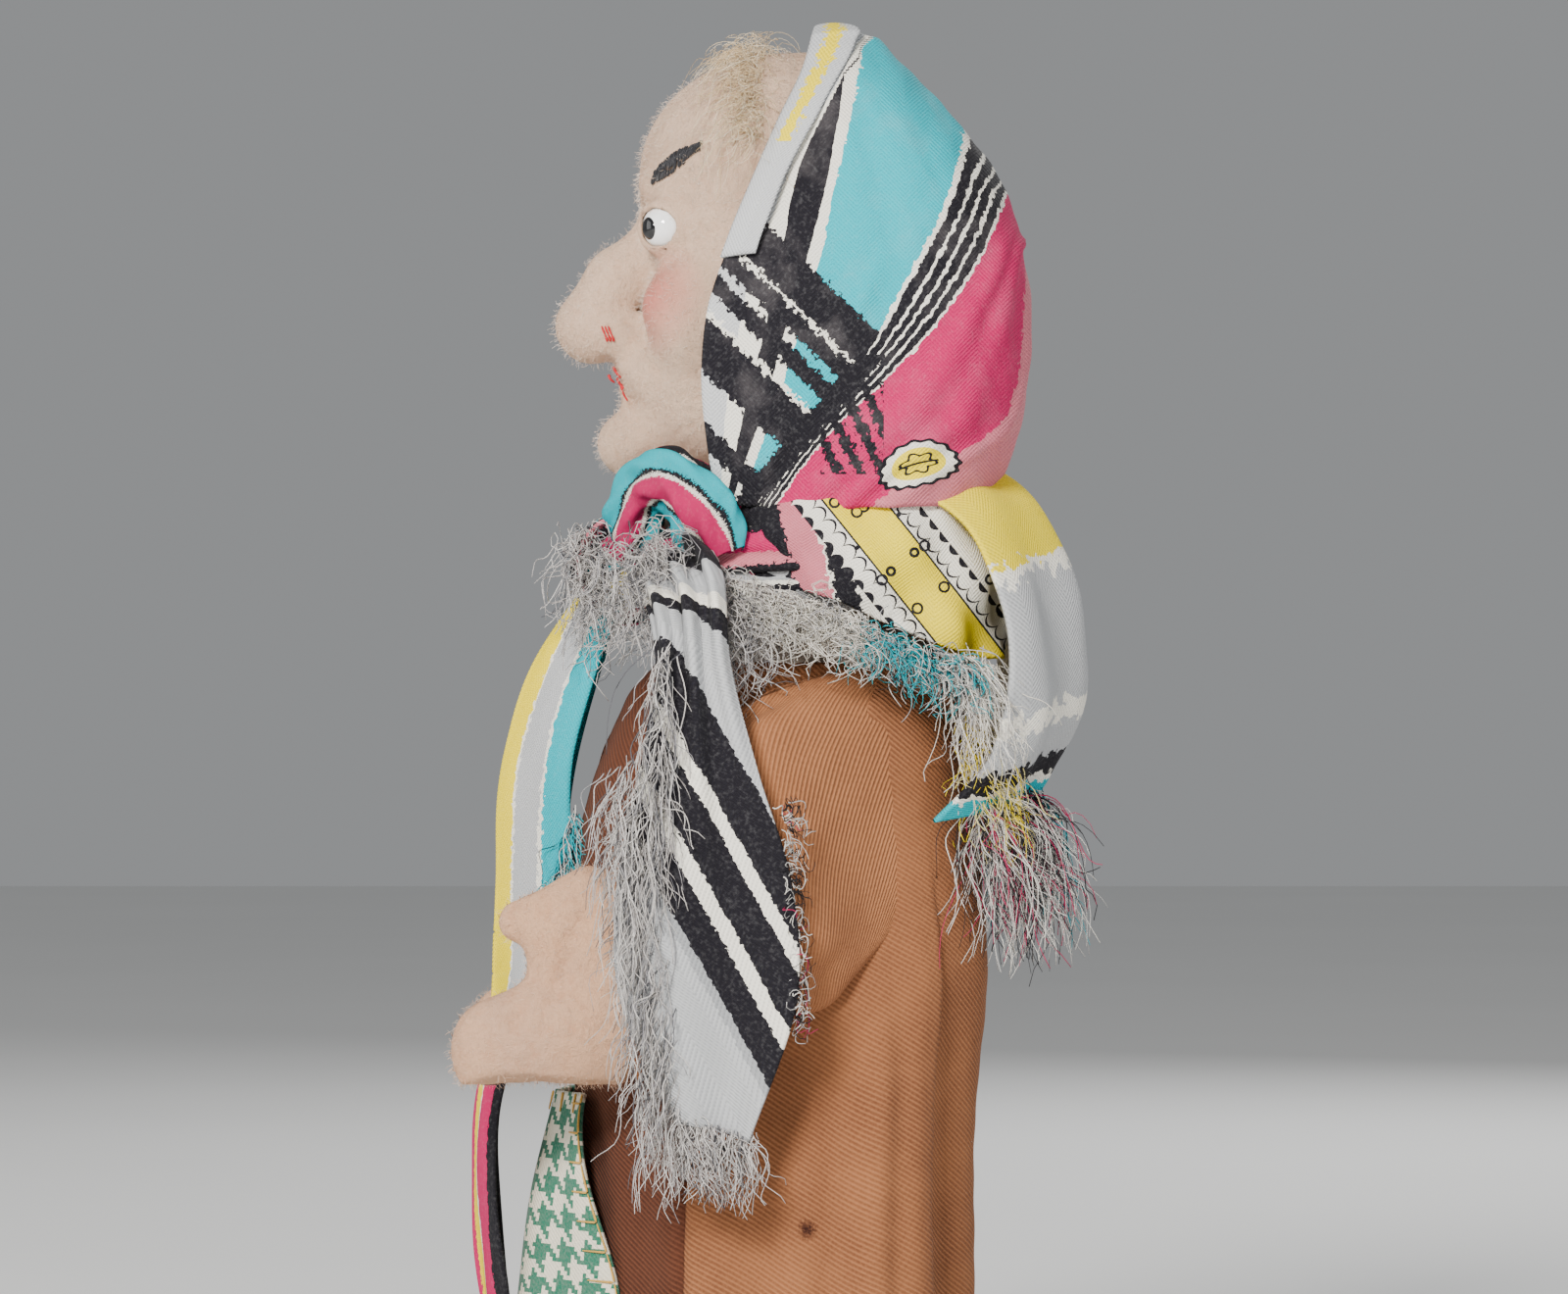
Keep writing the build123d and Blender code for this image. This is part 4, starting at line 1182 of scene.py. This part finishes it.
fringe("left_edge", fringe_grey, "left_scarf_end", 201, 520, (57.5, -32, 160), (57.5, -22, 88),
       (0.12, -0.45, -1.0), 18, ("left_tail_fringe",), spread=0.25, jitter=1.6)
fringe("left_over", fringe_grey, "left_scarf_end", 215, 220, (56, -24, 186), (59.5, -26, 140),
       (0.25, -0.1, -1.0), 19, spread=0.3, jitter=1.5)
fringe("left_low", fringe_grey, "left_scarf_end", 202, 240, (57, -22, 88), (57, -6, 84),
       (0.1, -0.1, -1), 12)
fringe("left_back", fringe_dark, "left_scarf_end", 203, 160, (58, 0, 152), (57.5, 2, 108),
       (0.1, 0.9, -0.3), 5, spread=0.4)
fringe("tangle", fringe_grey, "neckline", 204, 640, (33, -30, 205), (37, -6, 190),
       (0.8, -0.3, -0.9), 18, spread=0.9, curl=3.2, waves=1.8, jitter=2.6)
fringe("knot", fringe_grey, "neckline", 205, 220, (8, -41, 208), (12, -34, 194),
       (0.7, -0.6, -0.7), 17, spread=0.7, curl=2.6, waves=1.6, jitter=2.0)
fringe("curls", fringe_pale, "neckline", 206, 420, (36.5, -12, 196), (39, 16, 189),
       (0.5, 0.1, -0.9), 8.5, spread=0.8, curl=2.6, waves=1.9, jitter=1.2)
fringe("side", fringe_teal, "neckline", 207, 330, (39, 15, 188), (31, 39, 179),
       (0.5, 0.3, -0.9), 9, spread=0.7, curl=2.0, jitter=1.0)
fringe("side_low", fringe_pale, "neckline", 213, 170, (31, 36, 182), (25, 43, 178),
       (0.5, 0.2, -1.0), 20, spread=0.5, curl=1.8, jitter=1.4)
fringe("right", fringe_grey, "neckline", 214, 420, (-36, -14, 198), (-36, 22, 188),
       (-0.7, 0.1, -0.8), 13, spread=0.9, curl=2.6, waves=1.7, jitter=2.2)
fringe("front_inner", fringe_teal, "front_scarf_end", 208, 170, (7, -44, 150), (6, -45, 134),
       (0.3, 0.1, -1), 17, spread=0.35)
fringe("front_end", fringe_yellow, "front_scarf_end", 209, 170, (8, -62, 40), (-8, -60, 40),
       (0, 0.0, -1), 14, ("front_tail_fringe",), spread=0.3, curl=1.0)
fringe("back_end", fringe_dark, "back_scarf_corner", 210, 420, (24, 40, 152), (0, 53, 152),
       (0.25, 0.3, -1), 28, ("back_drape_fringe",), spread=0.45, curl=2.6, jitter=1.2)
fringe("back_side", fringe_yellow, "back_scarf_corner", 211, 260, (24, 38, 170), (20, 44, 154),
       (0.5, 0.5, -0.9), 15, spread=0.6, curl=2.0, jitter=1.6)
fringe("back_far", fringe_teal, "back_scarf_corner", 212, 200, (0, 54, 152), (-24, 42, 152),
       (-0.2, 0.3, -1), 24, spread=0.45, curl=2.4, jitter=1.2)

# ---- robe ----------------------------------------------------------------------------------------
# The robe's outlines seen from the side and its half widths, as (mm, height in mm).
ROBE_FRONT = [(-45.0, 0.0), (-43.5, 48.0), (-42.5, 80.0), (-43.0, 114.0), (-44.0, 138.0),
              (-40.0, 156.0), (-33.0, 172.0), (-26.0, 181.0)]
ROBE_BACK = [(41.0, 0.0), (38.5, 48.0), (39.5, 93.0), (42.0, 114.0), (41.0, 134.0), (38.2, 155.0),
             (36.8, 170.0), (32.0, 181.0)]
ROBE_HALF = [(52.0, 0.0), (46.0, 48.0), (38.0, 96.0), (34.5, 138.0), (33.5, 160.0), (30.0, 172.0),
             (25.5, 181.0)]
ROBE_TOP = 180.5
SIDE_TURN, FLAP_TURN = 1.13, 2.42          # where the side seam and the flap lie, in radians


def robe_place(turn_low, turn_high, z_low=0.8, grow=0.0, ease=0.0, flutes=1.0):
    """The robe's cloth between two turns about its middle, 0 at the front and pi at the back."""
    def place(v, u):
        z = ROBE_TOP + (z_low - ROBE_TOP) * v
        turn = turn_low + (turn_high - turn_low) * u
        front, back, half = outline(ROBE_FRONT, z), outline(ROBE_BACK, z), outline(ROBE_HALF, z)
        middle, deep = (front + back) / 2, (back - front) / 2
        round_turn = np.abs((turn + math.pi) % (2 * math.pi) - math.pi)
        loose = ramp(150 - z, 0, 110)
        lift = flutes * (2.1 * loose * np.sin(turn * 6 + 0.8 + 0.6 * np.sin(z * 0.02))
                         + 1.0 * loose * np.sin(turn * 11 + z * 0.015)
                         + 0.55 * wander(131, turn * 2.2, z * 0.05))
        lift = lift + 3.2 * flutes * bump(round_turn, 2.08, 0.085) * ramp(118 - z, 0, 30)
        lift = lift - 1.6 * flutes * bump(round_turn, 1.86, 0.10) * ramp(112 - z, 0, 40)
        lift = lift + 2.2 * flutes * ramp(FLAP_TURN - round_turn, -0.02, 0.03) * ramp(
            round_turn, 2.1, 2.3) * ramp(150 - z, 0, 50)
        lift = lift - 1.5 * flutes * bump(round_turn, SIDE_TURN, 0.035) * ramp(130 - z, 0, 30)
        lift = lift + 1.1 * flutes * bump(z, 172 + 5 * np.sin(turn * 3), 3.5) * np.sin(turn * 7)
        lift = lift + grow - ease * ramp(z, 150, 180)
        half, deep = half + lift, deep + lift
        return np.stack([half * np.sin(turn), middle - deep * np.cos(turn), z], -1)
    return place


def robe_print(turn_low, turn_high):
    return lambda v, u, p: (40.0 * (turn_low + (turn_high - turn_low) * u), 180.0 * (1 - v))


GAP_TURN = 0.16
twill_back = twill_look("twill_back", (0.26, 0.100, 0.042), (0.38, 0.165, 0.075),
                        (0.17, 0.062, 0.028), (43.0, 5.0, 65.0))
# painted shade: the robe fronts are a darker twill panel, and this copy is darkened further with
# painted shade where the front lies under the sleeve and turns from the light
twill_front_dark_and_shaded = twill_look("twill_front_dark_and_shaded", (0.090, 0.031, 0.017), (0.15, 0.056, 0.030),
                         (0.060, 0.020, 0.012))
# painted light: the sleeves wear a lighter copy of the robe's twill, painted lighter where they
# catch the light
twill_sleeve_lit = twill_look("twill_sleeve_lit", (0.33, 0.130, 0.055), (0.46, 0.205, 0.095),
                          (0.24, 0.090, 0.038))
BACK_TURNS = (SIDE_TURN, 2 * math.pi - SIDE_TURN)
cloth_piece("robe_back_cloth", twill_back, "twill_brown", "glove", "robe_back", rows=200,
            columns=220, place=robe_place(*BACK_TURNS), pattern=robe_print(*BACK_TURNS),
            flat=(0.183, 0.172), held="hung", rests_on=["under_dress"], thickness=1.3)
for side, label in SIDES:
    turns = (GAP_TURN, SIDE_TURN)
    if side < 0:
        turns = (2 * math.pi - SIDE_TURN, 2 * math.pi - GAP_TURN)
    cloth_piece(f"robe_{label}_front_cloth", twill_front_dark_and_shaded, "twill_brown", "glove",
                f"robe_{label}_front", rows=200, columns=64, place=robe_place(*turns),
                pattern=robe_print(*turns), flat=(0.183, 0.042), held="hung",
                rests_on=["under_dress"], thickness=1.3)

# the under-dress inside the robe
cotton = plain_look("cotton_plain", (0.42, 0.34, 0.27), 0.9, 1.2, 0.1, 0.1)
cloth_piece("under_dress_cloth", cotton, "cotton_plain", "glove", "under_dress", rows=90,
            columns=130, closed=True, pattern=lambda v, u, p: (u * 250, v * 178),
            flat=(0.180, 0.232), held="hung", thickness=0.8,
            place=robe_place(0.0, 2 * math.pi, 1.5, -4.2, 2.0, 0.35))

# ---- sleeves -------------------------------------------------------------------------------------
# Rings of the sleeve from shoulder to cuff, in mm: middle (y, z), size up and out, and middle x.
SLEEVE = [(27, 158, 22.0, 2.0, 30.0), (12, 148, 29.0, 8.0, 35.5), (0, 142, 30.0, 11.5, 39.0),
          (-11, 133, 27.5, 12.5, 40.5), (-22, 125, 25.0, 12.0, 40.5),
          (-32.5, 119, 23.4, 11.5, 40.0)]
SLEEVE_LEAN = [-0.10, -0.15, -0.30, -0.35, -0.25, -0.10]


def robe_side(y, z):
    """How far from the middle the robe's side lies at (y, z)."""
    front, back, half = outline(ROBE_FRONT, z), outline(ROBE_BACK, z), outline(ROBE_HALF, z)
    off = (y - (front + back) / 2) / ((back - front) / 2)
    return half * np.sqrt(np.clip(1 - off ** 2, 0, 1))


def sleeve_place(side, grow=0.0, end=1.0):
    stations = np.linspace(0, 1, len(SLEEVE))

    def place(v, u):
        w = v * end
        y, z, tall, wide, x = (curve_through(stations, [s[k] for s in SLEEVE], w) for k in range(5))
        lean = curve_through(stations, SLEEVE_LEAN, w)
        a = 2 * math.pi * u
        up, out = np.cos(a), np.sin(a)
        pull = ramp(w, 0.05, 0.5) * (1 - ramp(w, 0.85, 1.0))
        crease = (1.3 * np.sin(a * 5 + 11 * w) + 0.9 * np.sin(a * 8 - 15 * w + 1.2)) * pull
        crease = crease + 0.8 * wander(141, np.cos(a) * 2, np.sin(a) * 2, w * 6)
        crease = crease - 1.9 * bump(up, -0.45 + 0.8 * w, 0.14) * bump(w, 0.45, 0.28) - 1.8 * bump(
            up, 0.35 - 0.5 * w, 0.12) * bump(w, 0.35, 0.2)
        tall, wide = tall + grow + crease, wide + grow + crease * 0.8
        unit = np.sqrt(1 + lean ** 2)
        y, z = y + tall * up * (lean / unit), z + tall * up / unit
        join = ramp(w, 0.0, 0.38)
        x = (robe_side(y, z) - 1.0 + grow * 0.5) * (1 - join) + (x + wide * out) * join
        return np.stack([side * x, y, z], -1)
    return place


for side, label in SIDES:
    body = ("glove", f"{label}_arm", (side * 36, 22, 160), (side * 40, -6, 146))
    cloth_piece(f"{label}_sleeve_cloth", twill_sleeve_lit, "twill_brown", body, f"{label}_sleeve",
                rows=110, columns=130, closed=True, place=sleeve_place(side), thickness=1.4,
                flat=(0.145, 0.070), held="hung",
                pattern=lambda v, u, p: (150.0 * u, 75.0 * (1 - v)))
    cloth_piece(f"{label}_glove_arm_cloth", cotton, "cotton_plain", body, f"{label}_glove_arm",
                rows=40, columns=60, closed=True, place=sleeve_place(side, -4.2, 0.93),
                thickness=0.8, flat=(0.128, 0.066), held="hung",
                pattern=lambda v, u, p: (130.0 * u, 70.0 * (1 - v)))

# ---- apron ---------------------------------------------------------------------------------------
APRON_FRONT = [(-55.5, 3.0), (-54.5, 48.0), (-52.0, 70.0), (-47.5, 91.0)]
APRON_HALF = [(37.0, 3.0), (31.0, 48.0), (23.0, 72.0), (15.5, 91.0)]
APRON_TOP, APRON_LOW, APRON_PITCH = 91.0, 3.0, 7.0


def apron_place(v, u):
    z = APRON_TOP + (APRON_LOW - APRON_TOP) * v
    a = 2 * u - 1
    front, half = outline(APRON_FRONT, z), outline(APRON_HALF, z)
    x = a * half
    y = front + (6.5 + 15.5 * ramp(APRON_TOP - z, 0, 46)) * np.abs(a) ** 2.0
    y = y - (0.5 + 1.2 * v) * np.sin(a * 7 + 0.6) - 0.4 * wander(151, a * 3, z * 0.05)
    return np.stack([x, y, z], -1)


def houndstooth(name, pitch, dark, pale):
    """Houndstooth check, worked out thread by thread: eight threads to a pitch."""
    look = Look(name)
    i, j = ((c * (8.0 / pitch)).floor() for c in look.split(look.print_place())[0:2])
    warp, weft = (c % 8.0 < 4.0 for c in (i, j))
    diagonal = (i + j) % 4.0 < 2.0
    pick = diagonal * warp + look.math("SUBTRACT", 1.0, diagonal) * weft
    grain = look.noise(look.place(), 1.6, 4.0)
    colour = look.shade(look.mix(pick, pale, dark), (0.35, 0.33, 0.28), grain, 0.35, 0.75, 0.3)
    return look.finish(colour, 0.9, wale(look, look.print_place(), 0.7), 0.12, sheen=0.1)


check = houndstooth("cotton_check", APRON_PITCH, (0.0, 0.135, 0.075), (0.70, 0.66, 0.52))
cloth_piece("apron_cloth", check, "cotton_check", "glove", "apron_front", rows=90, columns=70,
            place=apron_place, thickness=1.1, flat=(0.090, 0.066), held="hung",
            rests_on=["under_dress"], pattern=lambda v, u, p: (p[..., 0] + 40.0, p[..., 2]))

ochre = plain_look("thread_ochre", (0.62, 0.36, 0.07), 0.75, 2.5, 0.1, 0.1)
STITCH_PITCH, STITCH_DEEP, BEADS = 6.0, 4.2, 7
run = np.linspace(0, 1, BEADS)
edge_rows = []
for side, label in SIDES:
    u_edge = 0.5 + 0.5 * side
    for z in np.arange(APRON_LOW + 2, APRON_TOP, STITCH_PITCH):
        v = (APRON_TOP - z) / (APRON_TOP - APRON_LOW)
        row = apron_place(np.full(BEADS, v), u_edge - side * run * STITCH_DEEP / 50.0)
        edge_rows.append(row + np.array([0, -0.9, 0])
                         + np.array([side * 0.7, 0.3, 0]) * run[::-1, None])
        v_run = v - run * STITCH_PITCH / (APRON_TOP - APRON_LOW)
        rim = apron_place(np.clip(v_run, 0, 1), np.full(BEADS, u_edge))
        edge_rows.append(rim + np.array([side * 0.9, -0.5, 0]))
v_down = run * STITCH_DEEP / (APRON_TOP - APRON_LOW)
for x in np.linspace(-0.9, 0.9, 6):
    for v in (v_down, 1 - v_down):
        row = apron_place(v, np.full(BEADS, 0.5 + x / 2))
        edge_rows.append(row + np.array([0, -0.9, 0]))
bead_line("apron_thread", edge_rows, 0.6, ochre, "glove",
          "apron_blanket_stitches")

# ---- felt mittens --------------------------------------------------------------------------------
ARM_X = 40.0
HAND_THIN = 1.55                 # how much flatter a mitten is than it is deep


def mitten_field(p):
    """A felt mitten with its thumb, a dimple and two creases, the same on both sides."""
    q = p.copy()
    q[..., 0] = (np.abs(p[..., 0]) - ARM_X) * HAND_THIN
    y, z = p[..., 1], p[..., 2]
    palm = soft_union(cone(q, (0, -22, 124), (0, -44.0, 124.5), 17.0, 9.0),
                      cone(q, (0, -24, 112), (0, -56.5, 101.3), 15.5, 11.6), blend=7.0)
    thumb = cone(q, (0, -40.5, 130.5), (0, -54.2, 128.0), 8.6, 4.0)
    solid = soft_union(palm, thumb, blend=3.5)
    # the wrist is cut back to stay inside the sleeve when the hand bends
    hidden = np.hypot(q[..., 0], z - 119.0) - (24.5 - 1.5 * np.clip(y + 33.0, 0, 11))
    solid = np.maximum(np.maximum(solid, hidden), y + 22.0)
    dimple = np.hypot(y + 54.6, z - 107.8)
    solid = solid + 1.9 * np.exp(-(dimple / 1.7) ** 2)
    for route, deep in (([(-43.0, 123.0), (-46.8, 113.5), (-49.5, 104.0)], 1.2),
                        ([(-38.0, 134.0), (-41.5, 127.0), (-45.5, 121.0)], 1.0)):
        gap, w = path_gap(y, z, route)
        solid = solid + deep * np.exp(-(gap / 1.5) ** 2) * np.sin(np.clip(w, 0, 1) * math.pi)
    return solid + 0.45 * wander(161, p[..., 0] * 0.15, y * 0.16, z * 0.16)


fibre_hand = thread_look("fibre_hand", [(0.0, (0.80, 0.52, 0.36)), (0.6, (0.88, 0.66, 0.50))])
for side, label in SIDES:
    body = f"{label}_hand"
    low = (side * ARM_X - 12.5, -73, 84)
    high = (side * ARM_X + 12.5, -20, 148)
    mitten = surface_of(f"{label}_mitten_felt", mitten_field, low, high, 0.62, settle=3)
    mitten.data.materials.append(felt_hand)
    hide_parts(f"{label}_mitten_back", f"{label}_mitten_palm")
    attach(mitten, body)
    fuzz(f"{label}_mitten_fuzz", mitten, 2600, 171 + side, 1.7, body, fibre_hand,
         lambda c: (c[:, 1] < -32) * 1.0)
    filling(f"{label}_mitten_filling", mitten_field, low, high, body, 1.6,
            f"{label}_mitten_stuffing")
    seam = []
    for turn in np.linspace(-1.95, 2.0, 34):
        way = np.array([0, -math.cos(turn), math.sin(turn)])
        row = []
        for k in np.linspace(-1, 1, 5):
            spot = on_skin(mitten_field, side * ARM_X + k * 1.1, -42.0, 112.0, way, 45.0)
            row.append(spot + way * (0.35 - 0.2 * k * k) + np.array([0, 0, 0.5 * k]))
        seam.append(row)
    bead_line(f"{label}_mitten_thread", seam, 0.20, felt_hand, body,
              f"{label}_mitten_stitch")

# ---- inner parts ---------------------------------------------------------------------------------
card = plain_look("cardboard", (0.45, 0.33, 0.21), 0.85, 0.8, 0.05)
wire = gloss_look("wire", (0.42, 0.42, 0.43), (0.52, 0.52, 0.53), 0.8, 0.35, 0.25)
wire.shader.inputs["Metallic"].default_value = 1.0
linen = plain_look("thread_linen", (0.62, 0.54, 0.42), 0.85, 2.5, 0.1)
dress_node(card, "neck_tube", "left_finger_tube", "right_finger_tube")
dress_node(wire.material, "left_eye_shank", "right_eye_shank")
dress_node(linen, "neck_binding")


def gather_place(v, u):
    a = 2 * math.pi * u
    pleat = 1 + 0.07 * ramp(v, 0.05, 0.5) * np.sin(14 * a)
    across = (13.4 + 11.5 * v ** 1.2) * pleat
    deep = (13.4 + 14.5 * v ** 1.2) * pleat
    return np.stack([across * np.sin(a), 6.0 - 1.5 * v - deep * np.cos(a), 197 - 16.4 * v], -1)


cloth_piece("neck_gather_cloth", cotton, "cotton_plain",
            ("glove", "neckline", (0, 6, 182), (0, 6, 193)), "neck_gather", rows=30,
            columns=200, closed=True, place=gather_place, thickness=0.8, flat=(0.150, 0.019),
            held="gathered", rests_on=["neck_tube"], pattern=lambda v, u, p: (u * 150, v * 20))
